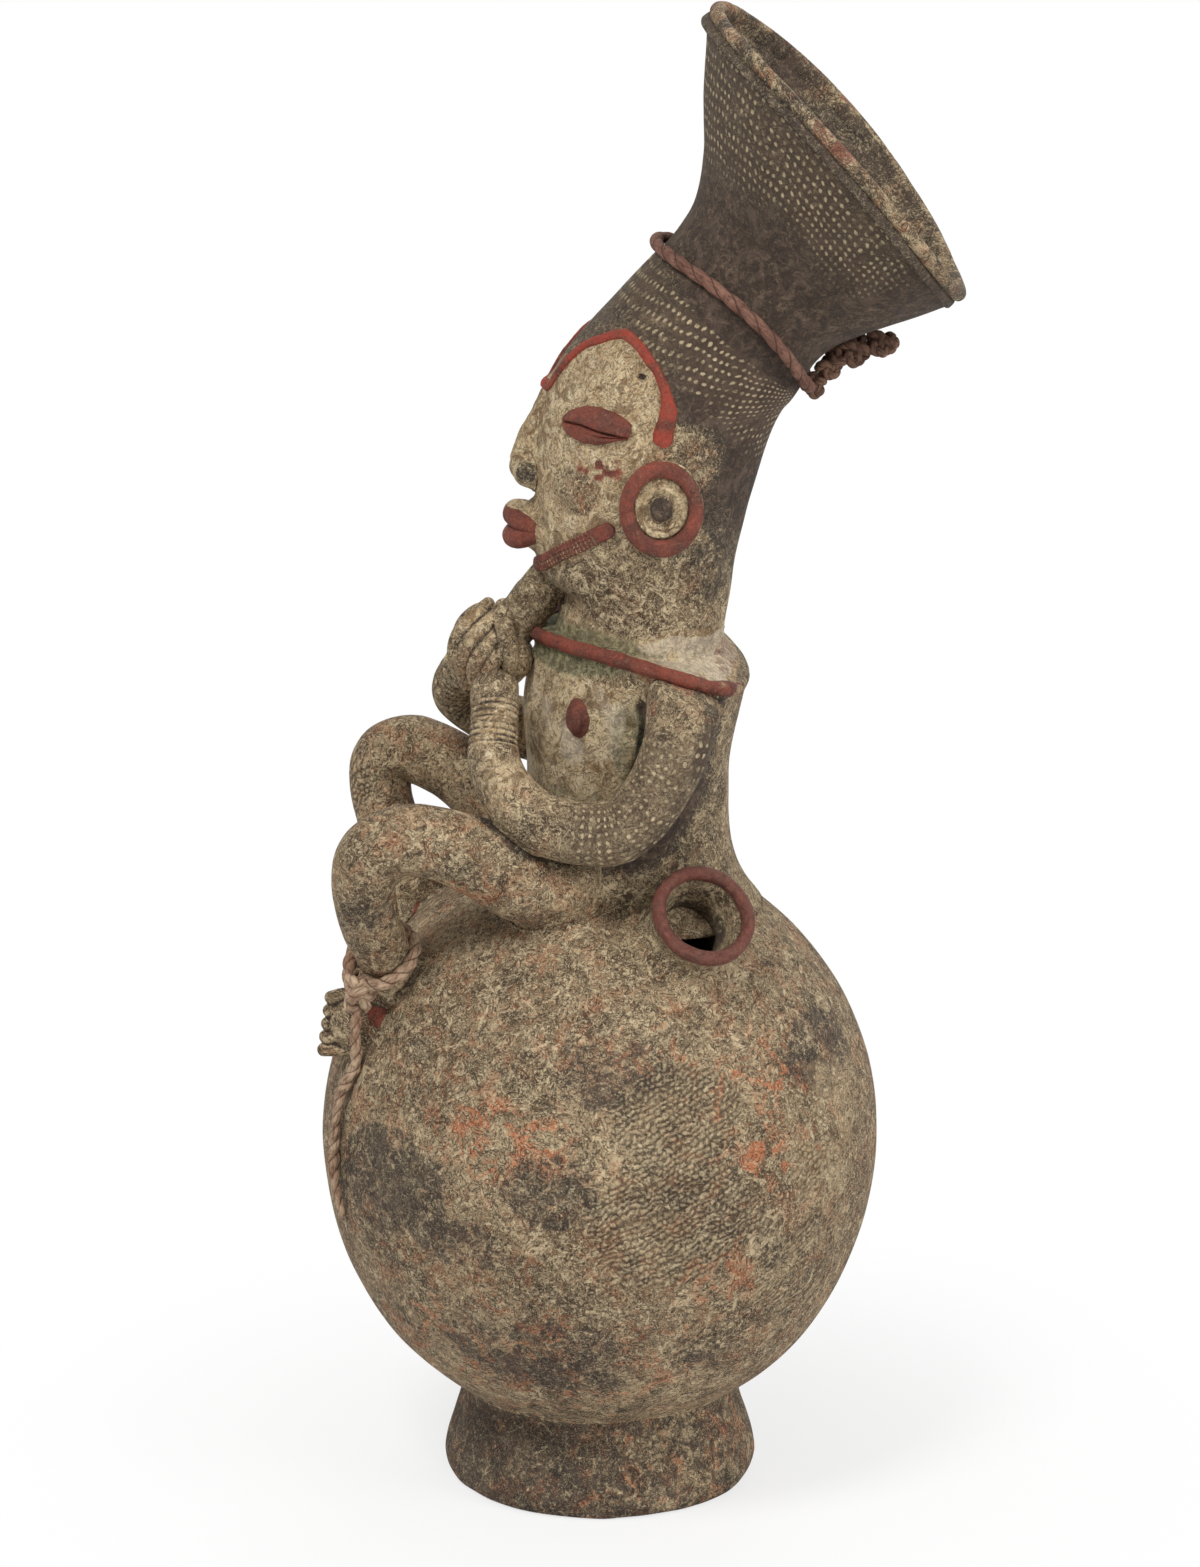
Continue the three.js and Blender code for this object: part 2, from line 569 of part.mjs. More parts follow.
// Place on the trunk's side or front: a ray from its middle towards a direction across the height z
function onTrunk(x, z, side, proud = 0) {
  const all = [...torsoSections, ...headSections];
  let best = null;
  for (let k = 0; k + 1 < all.length; k++) {
    for (let j = 0; j <= 90; j++) {
      const angle = degrees(2 * j);
      for (const share of [0, 0.25, 0.5, 0.75]) {
        const a = sectionPoint(all[k], angle, proud);
        const p = a.lerp(sectionPoint(all[k + 1], angle, proud), share);
        const miss = Math.hypot(p.x - x, p.z - z);
        if (!best || miss < best.miss) {
          best = { miss, y: Math.abs(p.y) };
        }
      }
    }
  }
  return point(x, side * best.y, z);
}

// Relief of even height on the trunk: an outline in X and Z driven through one side of it
function relief(outline, side, proud) {
  const shape = new THREE.Shape(outline.map(([x, z]) => new THREE.Vector2(x, z)));
  const depth = BELLY_RADIUS;
  const geometry = new THREE.ExtrudeGeometry(shape, { depth, bevelEnabled: false, curveSegments: 6 });
  geometry.rotateX(Math.PI / 2);
  geometry.translate(0, side < 0 ? -GAP / 2 : depth + GAP / 2, 0);
  return cut(solidOf(geometry).intersect(trunkFilled(GAP + proud)), trunkCutter);
}

// Band of even width along a smooth line of [x, z] places
function band(line, width, steps) {
  const curve = new THREE.SplineCurve(line.map(([x, z]) => new THREE.Vector2(x, z)));
  const edge = (sign) =>
    Array.from({ length: steps + 1 }, (_, k) => {
      const p = curve.getPointAt(k / steps);
      const t = curve.getTangentAt(k / steps);
      return [p.x - (sign * t.y * width) / 2, p.y + (sign * t.x * width) / 2];
    });
  return [...edge(1), ...edge(-1).reverse()];
}

const sides = { left: -1, right: 1 };
const faceZ = (share) => NECK_Z + HEAD_HEIGHT * share;

// Hairline: a red strip on the skin, from temple to temple over the brow
const hairLine = [[11, 0.68], [14, 0.74], [11.5, 0.83], [3.8, 0.93], [-4, 0.972], [-14, 0.953], [-24, 0.88], [-30.7, 0.79]]
  .map(([x, share]) => onTrunk(x, faceZ(share), sides.left));
const browMiddle = point(-BROW_FORWARD, 0, faceZ(0.775));
const mirrored = hairLine.map((p) => point(p.x, -p.y, p.z)).reverse();
const hairStrip = limb([...hairLine, browMiddle, ...mirrored], [HAIRLINE_WIDTH / 2, HAIRLINE_WIDTH / 2], { steps: 26, sides: 5 });
addSolid("hairline_band", cut(solidOf(hairStrip).intersect(trunkFilled(GAP + HAIRLINE_PROUD)), trunkCutter), paints.ochre);

// Nose: a ridge from the brow, with a rounded wing on each side of its tip
const noseTip = point(headSections[0].x - NECK_HALF_DEPTH - 8 - NOSE_PROUD + 1.8, 0, faceZ(0.515));
const ridge = limb(
  [
    point(noseTip.x + 17, 0, noseTip.z + NOSE_LENGTH),
    point(noseTip.x + 13, 0, noseTip.z + NOSE_LENGTH * 0.75),
    point(noseTip.x + 9, 0, noseTip.z + NOSE_LENGTH * 0.45),
    point(noseTip.x + 5.6, 0, noseTip.z + 2),
  ],
  [2.6, 3.6, 4.5, 5.6],
  { steps: 6, sides: 8 },
);
const wings = Object.values(sides).map((side) =>
  ellipsoid(point(noseTip.x + 8, side * 6.5, noseTip.z), point(NOSE_WING_RADIUS, NOSE_WING_RADIUS, NOSE_WING_RADIUS * 0.9),
    new THREE.Euler(), 12, 6));
const nose = cut(join(solidOf(ridge), ...wings), trunkCutter);
addSolid("nose", nose, paints.slip);

// Lips: two full lobes, one above the other
const mouthZ = faceZ(0.338);
const lipAt = (step) => point(-41, 0, mouthZ + step * (LIP_HEIGHT + GAP) * 0.98);
const lip = (step) => cut(ellipsoid(lipAt(step), point(LIP_PROUD + 1, LIP_HALF_WIDTH, LIP_HEIGHT), new THREE.Euler(), 12, 6), trunkCutter);
const lipSplit = (step) => {
  const half = new THREE.BoxGeometry(80, 80, 40);
  half.translate(-41, 0, mouthZ + step * (20 + GAP / 2));
  return solidOf(half);
};
addSolid("upper_lip", lip(0.5).intersect(lipSplit(1)), paints.ochre);
addSolid("lower_lip", lip(-0.5).intersect(lipSplit(-1)), paints.ochre);

// Pieces that come in a left and a right copy on the head
for (const [name, side] of Object.entries(sides)) {
  // Eye: a coffee bean with its slit
  const eyePlace = onTrunk(-15, faceZ(0.71), side);
  const eyeTurn = new THREE.Euler(0, degrees(-2), side * degrees(24));
  const eyeBean = ellipsoid(eyePlace, point(EYE_LENGTH / 2, EYE_PROUD, EYE_HEIGHT / 2), eyeTurn, 14, 8);
  const slitBox = new THREE.BoxGeometry(EYE_LENGTH * 0.8, 3, SLIT_WIDTH);
  slitBox.applyQuaternion(new THREE.Quaternion().setFromEuler(eyeTurn));
  const slitPlace = onTrunk(-15, faceZ(0.71), side, EYE_PROUD);
  slitBox.translate(slitPlace.x, slitPlace.y, slitPlace.z);
  addSolid(`eye_${name}`, cut(eyeBean, trunkCutter, solidOf(slitBox)), paints.ochre);

  // Jaw scar: a notched bar from the chin towards the ear
  const scarLine = [[-37, faceZ(0.24)], [-23, faceZ(0.325)], [-8, faceZ(0.39)]];
  addSolid(`jaw_scar_${name}`, relief(band(scarLine, SCAR_WIDTH, 6), side, SCAR_PROUD), paints.ochre);

  // Ear spool: a painted ring round a dished disc with a knob, a little taller than wide
  const earPlace = onTrunk(9.4, faceZ(0.475), side);
  const earOut = point(0.04, side, 0.02);
  const ringInner = EAR_RADIUS - EAR_RING_WIDTH;
  const ringProfile = [[ringInner, -8], [EAR_RADIUS - 1, -8], [EAR_RADIUS, EAR_PROUD * 0.6], [EAR_RADIUS - 1.5, EAR_PROUD],
    [ringInner + 1.5, EAR_PROUD], [ringInner, EAR_PROUD * 0.6]];
  const spool = (profile, around) => {
    const shape = turned(profile, around, earPlace, earOut);
    shape.translate(-earPlace.x, -earPlace.y, -earPlace.z);
    shape.scale(1, 1, EAR_TALL_SHARE);
    shape.translate(earPlace.x, earPlace.y, earPlace.z);
    return cut(solidOf(shape), trunkCutter);
  };
  addSolid(`ear_ring_${name}`, spool(ringProfile, 20), paints.ochre);
  const discProfile = [[0, -8], [ringInner - GAP, -8], [ringInner - GAP, EAR_PROUD * 0.5], [EAR_KNOB_RADIUS + 2, EAR_PROUD * 0.3],
    [EAR_KNOB_RADIUS, EAR_PROUD * 0.6], [0, EAR_PROUD * 0.7]];
  addSolid(`ear_plug_${name}`, spool(discProfile, 16), paints.slip);

  // Nipple: a painted knob on the chest
  const nipplePlace = onTrunk(-21.3, TORSO_TOP_Z - 14.2, side);
  addSolid(`nipple_${name}`, cut(ellipsoid(nipplePlace, point(NIPPLE_RADIUS, NIPPLE_RADIUS, NIPPLE_RADIUS * 1.35)), trunkCutter), paints.ochre);
}

// Beard: a rod of clay from under the chin down to the hands
const chin = point(-CHIN_FORWARD, 0, NECK_Z + CHIN_RISE);
const beardEnd = point(-55, 0, TORSO_TOP_Z + 5);
const beardPath = [chin, chin.clone().lerp(beardEnd, 0.5), beardEnd];
const beardRadii = [BEARD_RADIUS - 0.6, BEARD_RADIUS, BEARD_RADIUS];
const beard = (grow) => solidOf(limb(beardPath, beardRadii, { steps: 6, grow }));

// Arms: from the shoulder down the flank, round the elbow and up to the hand.
// Heights are measured from the shoulder joint; widths are measured out from the chest's side.
const upperArm = [[20, 1, -2], [16, 8, -22], [6, 10.5, -42], [-5.6, 11.5, -53.6], [-21, 11.5, -55]];
const forearms = {
  left: [[-37, 11, -51], [-49, 7, -41.5], [-55.3, 0, -29], [-55.4, -8.5, -15], [-55.6, -17, -4]],
  right: [[-41, 11, -50], [-61, 6, -41], [-73.5, -4, -29], [-72, -16, -17], [-61, -25, -6]],
};
const armPath = (name) =>
  [...upperArm, ...forearms[name]].map(([x, y, z]) => point(x, sides[name] * (y + CHEST_HALF_WIDTH), z + TORSO_TOP_Z));
const armRadii = [ARM_RADIUS + 2, ARM_RADIUS + 1, ARM_RADIUS, ARM_RADIUS, ARM_RADIUS, ARM_RADIUS - 0.5, ARM_RADIUS - 1, WRIST_RADIUS + 1, WRIST_RADIUS, WRIST_RADIUS];
const arm = (name, grow) => solidOf(limb(armPath(name), armRadii, { steps: 20, grow }));

// Half of space on one side of the figure's middle plane
function sideOfMiddle(side) {
  const half = new THREE.BoxGeometry(400, 200, 800);
  half.translate(0, side * (100 + GAP / 2), 300);
  return solidOf(half);
}

// Hand: a cupped palm with five fingers folded over the beard
function hand(name) {
  const side = sides[name];
  const palm = point(beardEnd.x - 1.8, side * 13, TORSO_TOP_Z + 3.4);
  const pieces = [ellipsoid(palm, point(HAND_RADIUS + 1.5, HAND_RADIUS, HAND_RADIUS + 1), new THREE.Euler(), 12, 6)];
  for (let k = 0; k < 5; k++) {
    const step = k - 2;
    const knuckle = point(palm.x - 5.6 + step * 4.5, side * (15 - Math.abs(step) * 0.8), palm.z + 6 + step * 0.9);
    const path = [
      knuckle.clone().add(point(-3, side * 1.5, -11)),
      knuckle.clone().add(point(-1.5, side * 1.5, -2)),
      knuckle.clone().add(point(2.5, -side * 3, 5)),
      knuckle.clone().add(point(6, -side * 10, 7)),
    ];
    pieces.push(solidOf(limb(path, [FINGER_RADIUS, FINGER_RADIUS, FINGER_RADIUS, FINGER_RADIUS - 0.6], { steps: 4, sides: 5 })));
  }
  return join(...pieces);
}

// Legs: thighs out over the belly, knees high, shins down to the ankles in front of it, heights from the seat.
// The right foot is set back from the left one and higher up the belly.
const legCourses = {
  left: [[-26, 40, 1], [-43, 50, 3], [-57, 57.5, 13], [-76, KNEE_SPREAD - 2, 21.5], [BELLY_FRONT_X + 35, KNEE_SPREAD, 23.5],
    [BELLY_FRONT_X + 24, KNEE_SPREAD - 0.5, 17], [BELLY_FRONT_X + 20.9, KNEE_SPREAD - 3, 5.5],
    [BELLY_FRONT_X + 22, ANKLE_SPREAD + 18, -12], [BELLY_FRONT_X + 26.3, ANKLE_SPREAD + 7, -28],
    [BELLY_FRONT_X + 28.3, ANKLE_SPREAD, -38]],
  right: [[-26, 40, -2], [-43, 50, -4], [-57, 57.5, 2], [-77.5, KNEE_SPREAD - 2, 16.5], [BELLY_FRONT_X + 31.6, KNEE_SPREAD, 22.5],
    [BELLY_FRONT_X + 21.4, KNEE_SPREAD - 0.5, 17], [BELLY_FRONT_X + 20.9, KNEE_SPREAD - 3, 4.5],
    [BELLY_FRONT_X + 26, ANKLE_SPREAD + 18, -10], [BELLY_FRONT_X + 32, ANKLE_SPREAD + 7, -21],
    [BELLY_FRONT_X + 36, ANKLE_SPREAD, -29]],
};
const legPath = (name) =>
  legCourses[name].map(([x, y, z]) => point(x, sides[name] * y, z + SEAT_Z));
const legRadii = [THIGH_RADIUS, THIGH_RADIUS + 0.5, THIGH_RADIUS, SHIN_RADIUS + 0.6, SHIN_RADIUS, SHIN_RADIUS - 0.4,
  SHIN_RADIUS - 1.5, SHIN_RADIUS - 1.9, ANKLE_RADIUS + 0.8, ANKLE_RADIUS];
const leg = (name, grow) => solidOf(limb(legPath(name), legRadii, { steps: 20, grow }));

// Foot: a thick block against the belly, with five toes side by side in front
function foot(name) {
  const ankle = legPath(name).at(-1);
  const middle = point(ankle.x - FOOT_FORWARD, ankle.y, ankle.z - ANKLE_RADIUS - FOOT_DEPTH / 2 + FOOT_SEAT);
  const pieces = [ellipsoid(middle, point(FOOT_LENGTH * 0.56, 9.5, FOOT_DEPTH * 0.53), new THREE.Euler(), 12, 6)];
  const heel = point(ankle.x - 1, ankle.y, ankle.z - ANKLE_RADIUS + 1);
  pieces.push(ellipsoid(heel, point(ANKLE_RADIUS - 1, 10, 9), new THREE.Euler(), 12, 6));
  for (let k = 0; k < 5; k++) {
    const z = middle.z + (2 - k) * TOE_RADIUS * 1.75;
    const reach = 16.2 - (4 - k) * 0.8;
    const path = [point(middle.x - 4, middle.y, z), point(middle.x - 9, middle.y, z), point(middle.x - reach, middle.y, z)];
    pieces.push(solidOf(limb(path, [TOE_RADIUS + 2.2, TOE_RADIUS + 1, TOE_RADIUS], { steps: 2, sides: 5 })));
  }
  return join(...pieces);
}

for (const [name, side] of Object.entries(sides)) {
  const armCutter = arm(name, GAP);
  const legCutter = leg(name, GAP);
  addSolid(`leg_${name}`, cut(leg(name, 0), trunkCutter, bellyCutter), paints.clay);
  addSolid(`foot_${name}`, cut(foot(name), legCutter, bellyCutter), paints.clay);
  addSolid(`arm_${name}`, cut(arm(name, 0), trunkCutter, legCutter), paints.clay);
  const handSolid = hand(name).intersect(sideOfMiddle(side));
  addSolid(`hand_${name}`, cut(handSolid, armCutter, beard(GAP), trunkCutter), paints.clay);

  // Shoulder ridge: a painted coil along the shelf's edge, from the breast round to the back
  const ridgeRun = [12, 28, 50, 75, 100, 118, 130].map((turn) => sectionPoint(ridgeLine, degrees(-side * turn), 0.6));
  const ridgeCoil = limb(ridgeRun, [RIDGE_RADIUS - 0.5, RIDGE_RADIUS, RIDGE_RADIUS, RIDGE_RADIUS - 0.6], { steps: 12, sides: 8 });
  const ridgeHalf = solidOf(ridgeCoil).intersect(sideOfMiddle(side));
  addSolid(`shoulder_ridge_${name}`, cut(ridgeHalf, trunkCutter, armCutter, beard(GAP)), paints.ochre);
}
addSolid("beard", cut(beard(0), trunkCutter), paints.clay);

// Loop of cord that comes back to its knot: an open ring of points, its ends straight for a diameter.
// Angles run from the side opposite the knot.
function tiedLoop(placeAt, loopRadius, radius, knotHalfWidth) {
  const curvedEnd = 180 - ((knotHalfWidth + GAP + 2 * radius) / loopRadius) * (180 / Math.PI);
  const count = LOOP_STEPS - 2;
  const ring = Array.from({ length: count + 1 }, (_, k) =>
    placeAt(degrees(THREE.MathUtils.lerp(-curvedEnd, curvedEnd, k / count))));
  const beyond = (last, before) => last.clone().add(last.clone().sub(before).setLength(2 * radius));
  return [beyond(ring[0], ring[1]), ...ring, beyond(ring.at(-1), ring.at(-2))];
}

// Adds a looped cord as one unbroken tube, and prints the least gap that it keeps to itself
function addLoop(name, places, radius, material) {
  const curve = new THREE.CatmullRomCurve3(places, false, "centripetal");
  addPiece(name, cordGeometry(curve, radius, LOOP_SIDES, LOOP_STEPS), material);
  const run = curve.getSpacedPoints(LOOP_STEPS);
  let least = Infinity;
  run.forEach((a, i) => {
    for (const b of run.slice(i + LOOP_STEPS / 3)) {
      least = Math.min(least, a.distanceTo(b) - 2 * radius);
    }
  });
  console.log(`${name} keeps at least ${least.toFixed(2)} mm to itself`);
}

// Cord round the neck, lying on the joint between head and coiffure and tied behind the head
const cordProud = NECK_CORD_RADIUS + GAP + ROPE_SLACK;
const neckLoopAt = (angle) => sectionPoint(cordLine, angle, cordProud);
const neckLoop = tiedLoop(neckLoopAt, CORD_LINE_HALF_DEPTH + cordProud, NECK_CORD_RADIUS, NECK_KNOT_RADIUS);
addLoop("neck_cord", neckLoop, NECK_CORD_RADIUS, paints.cord);
const neckKnot = sectionPoint(cordLine, Math.PI, NECK_KNOT_RADIUS + GAP);
const knotBall = new THREE.SphereGeometry(NECK_KNOT_RADIUS, 12, 8);
knotBall.translate(neckKnot.x, neckKnot.y, neckKnot.z);
addSolid("neck_cord_knot", cut(solidOf(knotBall), trunkCutter), paints.darkCord);

// Its stiff end stands out behind, with three knots in it
const tailSteps = [[0, 0], [2.6, 3.6], [5.2, 6.6], [8.6, 8.8], [12.4, 10.3], [16.4, 11.6], [20.6, 12.6], [25, 13.2], [29.4, 13.6]];
const tailStart = neckKnot.clone().addScaledVector(point(0.62, 0, 0.785), NECK_KNOT_RADIUS + GAP + NECK_CORD_RADIUS * 0.5);
const neckTail = limb(
  tailSteps.map(([x, z]) => tailStart.clone().add(point(x, 0, z))),
  [0, 0.4, 1.5, 0.3, 1.6, 0.3, 0.4, 1.5, 0].map((more) => NECK_CORD_RADIUS + more),
  { steps: 16, sides: CORD_SIDES },
);
addSolid("neck_cord_tail", cut(solidOf(neckTail), trunkCutter), paints.darkCord);

// Ropes round both ankles, each tied in front on its outer side
for (const [name, side] of Object.entries(sides)) {
  const [above, ankle] = legPath(name).slice(-2);
  const upLeg = above.clone().sub(ankle).normalize();
  const middle = ankle.clone().addScaledVector(upLeg, ROPE_ABOVE_ANKLE);
  const normal = upLeg.clone().add(point(-0.2, 0, 0)).normalize();
  const back = point(0.76, -side * 0.65, 0);
  back.addScaledVector(normal, -back.dot(normal)).normalize();
  const across = normal.clone().cross(back);
  const loopRadius = ANKLE_RADIUS + 0.8 + GAP + ROPE_RADIUS + ROPE_SLACK;
  const ankleLoopAt = (angle) =>
    middle.clone().addScaledVector(back, Math.cos(angle) * loopRadius).addScaledVector(across, Math.sin(angle) * loopRadius);
  addLoop(`ankle_rope_${name}`, tiedLoop(ankleLoopAt, loopRadius, ROPE_RADIUS, ROPE_KNOT_HALF_WIDTH), ROPE_RADIUS, paints.rope);
  const knot = ankleLoopAt(Math.PI).add(point(-0.4, side * 1.8, -4));
  const knotHalves = point(ROPE_KNOT_HALF_WIDTH, ROPE_KNOT_HALF_WIDTH, ROPE_KNOT_HALF_HEIGHT);
  const knotSolid = ellipsoid(knot, knotHalves, new THREE.Euler(), 12, 6);
  addSolid(`ankle_knot_${name}`, cut(knotSolid, leg(name, GAP), bellyCutter), paints.rope);
  if (name === "left") {
    // The left rope's free end hangs past the foot and lies down the belly
    const lying = ROPE_RADIUS + GAP + 0.4;
    const tail = [
      knot.clone().add(point(0, -1, -ROPE_KNOT_HALF_HEIGHT - GAP)),
      knot.clone().add(point(-0.3, -1.2, -ROPE_KNOT_HALF_HEIGHT - ROPE_HANG / 2)),
      knot.clone().add(point(-0.6, 0.4, -ROPE_KNOT_HALF_HEIGHT - ROPE_HANG)),
      onBelly(-155.6, 15.5, lying + 0.4),
      onBelly(-156, 8, lying),
      onBelly(-156, 2, lying),
      onBelly(-154.6, -3.5, lying),
      onBelly(-152.6, -8, lying),
    ];
    const tailCurve = new THREE.CatmullRomCurve3(tail, false, "centripetal");
    const tailLength = tailCurve.getLength();
    addPiece("ankle_rope_tail", cordGeometry(tailCurve, ROPE_RADIUS, CORD_SIDES, Math.round(tailLength / (4 * ROPE_RADIUS))), paints.rope);
    console.log(`ankle_rope_tail is ${tailLength.toFixed(1)} mm long`);
  }
}

export default vessel;
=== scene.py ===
import math

import bpy
import numpy as np
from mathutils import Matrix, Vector
from mathutils.bvhtree import BVHTree


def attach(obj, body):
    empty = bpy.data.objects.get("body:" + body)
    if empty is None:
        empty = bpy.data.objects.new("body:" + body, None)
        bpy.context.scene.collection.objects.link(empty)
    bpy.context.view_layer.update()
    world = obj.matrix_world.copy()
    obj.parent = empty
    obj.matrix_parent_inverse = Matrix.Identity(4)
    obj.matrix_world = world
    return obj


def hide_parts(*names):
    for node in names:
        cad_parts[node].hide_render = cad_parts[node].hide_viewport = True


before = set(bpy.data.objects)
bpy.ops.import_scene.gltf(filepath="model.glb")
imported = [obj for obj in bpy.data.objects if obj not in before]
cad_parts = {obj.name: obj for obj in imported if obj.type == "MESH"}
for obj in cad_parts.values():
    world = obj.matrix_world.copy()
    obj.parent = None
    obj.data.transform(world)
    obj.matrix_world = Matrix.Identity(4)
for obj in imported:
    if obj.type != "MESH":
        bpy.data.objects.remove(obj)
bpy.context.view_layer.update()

# Lengths below are in millimetres, as on the real vessel; meshes are written in metres
MM = 0.001

# ---------------------------------------------------------------- camera
CAMERA_AZIMUTH = math.radians(1.5)
CAMERA_RISE = math.radians(17.0)
CAMERA_TARGET = Vector((-0.015, 0.0, 0.292))
CAMERA_AWAY = 2.8
CAMERA_LENS = 160.8

camera_back = Vector((
    math.sin(CAMERA_AZIMUTH) * math.cos(CAMERA_RISE),
    -math.cos(CAMERA_AZIMUTH) * math.cos(CAMERA_RISE),
    math.sin(CAMERA_RISE),
))
camera = bpy.data.objects.new("camera", bpy.data.cameras.new("camera"))
camera.data.lens = CAMERA_LENS
camera.data.sensor_width = 36.0
camera.data.clip_end = 60.0
camera.location = CAMERA_TARGET + camera_back * CAMERA_AWAY
camera.rotation_euler = (-camera_back).to_track_quat("-Z", "Y").to_euler()
bpy.context.scene.collection.objects.link(camera)
bpy.context.scene.camera = camera
bpy.context.scene.view_settings.view_transform = "Standard"

# ---------------------------------------------------------------- sizes shared with the solids
POT_CENTRE = np.array([-15.0, 0.0, 144.0])
BELLY_RADIUS = 112.0
BELLY_HALF_HEIGHT = 120.0
BELLY_WALL = 8.0
SEAT_Z = 264.0
TORSO_TOP_Z = 345.0
NECK_Z = 355.0
HEAD_HEIGHT = 130.7
CORD_LINE_Z = 485.7
CHEST_HALF_WIDTH = 49.0
TRUNK_WALL = 8.0
ROPE_RADIUS = 2.8
SIDES = {"left": -1.0, "right": 1.0}

# columns of a shape's paint and marks masks; the smoke column also carries painted shade
RED, PALE, SMOKE_AND_SHADE, GREEN = range(4)
DOTS, COMBING, RUST, WEAR = range(4)
UV_LENGTH = 100.0


def leaning(degrees):
    """Direction that leans back from straight up."""
    return np.array([math.sin(math.radians(degrees)), 0.0, math.cos(math.radians(degrees))])


SEAM_NORMAL = leaning(43.4)


def full_turn(count):
    return np.linspace(0.0, 2 * math.pi, count, endpoint=False)


def unit(v):
    return v / np.maximum(np.linalg.norm(v, axis=-1, keepdims=True), 1e-9)


def smoothstep(low, high, value):
    t = np.clip((value - low) / (high - low), 0.0, 1.0)
    return t * t * (3.0 - 2.0 * t)


def spline(points, per=24, even_parts=False):
    """Smooth curve through points of any number of values; even_parts keeps plain Catmull-Rom."""
    p = np.asarray(points, float)
    p = np.vstack([2 * p[0] - p[1], p, 2 * p[-1] - p[-2]])
    t = np.linspace(0.0, 1.0, per, endpoint=False)[:, None]
    run = []
    for a, b, c, d in zip(p, p[1:], p[2:], p[3:]):
        if even_parts:
            leave, arrive = (c - a) / 2, (d - b) / 2
        else:
            d0, d1, d2 = (max(np.linalg.norm(v), 1e-6) ** 0.5 for v in (b - a, c - b, d - c))
            leave = ((b - a) / d0 - (c - a) / (d0 + d1) + (c - b) / d1) * d1
            arrive = ((c - b) / d1 - (d - b) / (d1 + d2) + (d - c) / d2) * d1
        bend, twist = 3 * (c - b) - 2 * leave - arrive, 2 * (b - c) + leave + arrive
        run.append(b + leave * t + bend * t**2 + twist * t**3)
    run.append(p[-2][None])
    return np.vstack(run)


def lengths(line):
    return np.concatenate([[0.0], np.cumsum(np.linalg.norm(np.diff(line[:, :3], axis=0), axis=1))])


def evenly(line, count):
    """The line again at even steps of its length."""
    s = lengths(line)
    want = np.linspace(0.0, s[-1], count)
    return np.stack([np.interp(want, s, column) for column in line.T], axis=1)


HASH_BY_AXIS = np.array([374761393, 668265263, 2147483647])


def noise(p, size, seed=0):
    """Smooth noise in -1..1 whose features are about size across."""
    q = p / size + 13.7 * seed
    cell = np.floor(q).astype(np.int64)
    f = q - cell
    f = f * f * (3.0 - 2.0 * f)
    total = np.zeros(len(p))
    for corner in np.ndindex(2, 2, 2):
        h = (cell + corner) @ HASH_BY_AXIS + seed * 974711
        h = (h ^ (h >> 13)) * 1274126177
        h = ((h ^ (h >> 16)) & 0xFFFF) / 32767.5 - 1.0
        total += h * np.where(corner, f, 1 - f).prod(axis=1)
    return total


def rough(p, size, octaves=3, seed=0):
    """Noise with finer and fainter copies of itself."""
    return sum(noise(p, size / 2.0**k, seed + k) * 0.55**k for k in range(octaves))


# ---------------------------------------------------------------- shapes: rings of points and their faces
class Shape:
    """Closed surface: points, faces, two values along the surface at each face corner, and paint masks."""

    def __init__(self, points, faces, along=None):
        self.points = np.asarray(points, float)
        self.faces = faces
        self.along = along
        self.paint = np.zeros((len(self.points), 4))
        self.marks = np.zeros((len(self.points), 4))
        self.pitch = 1.0
        self._tree = None

    def normals(self):
        corners = self.corner_points()
        total = np.zeros_like(self.points)
        for index, normal in corners:
            for k in range(index.shape[1]):
                for axis in range(3):
                    total[:, axis] += np.bincount(index[:, k], normal[:, axis], len(self.points))
        return unit(total)

    def corner_points(self):
        """Faces of three and of four points, each group with its normals times twice their area."""
        groups = []
        for size, (a, b, c, d) in ((3, (0, 1, 0, 2)), (4, (0, 2, 1, 3))):
            index = np.array([f for f in self.faces if len(f) == size], int).reshape(-1, size)
            if len(index):
                p = self.points[index]
                groups.append((index, np.cross(p[:, b] - p[:, a], p[:, d] - p[:, c])))
        return groups

    def outwards(self):
        volume = sum(np.sum(self.points[index[:, 0]] * normal) for index, normal in self.corner_points())
        if volume < 0:
            self.faces = [f[::-1] for f in self.faces]
            if self.along is not None:
                self.along = [c[::-1] for c in self.along]
        return self

    def tree(self):
        if self._tree is None:
            self._tree = BVHTree.FromPolygons(self.points.tolist(), self.faces)
        return self._tree


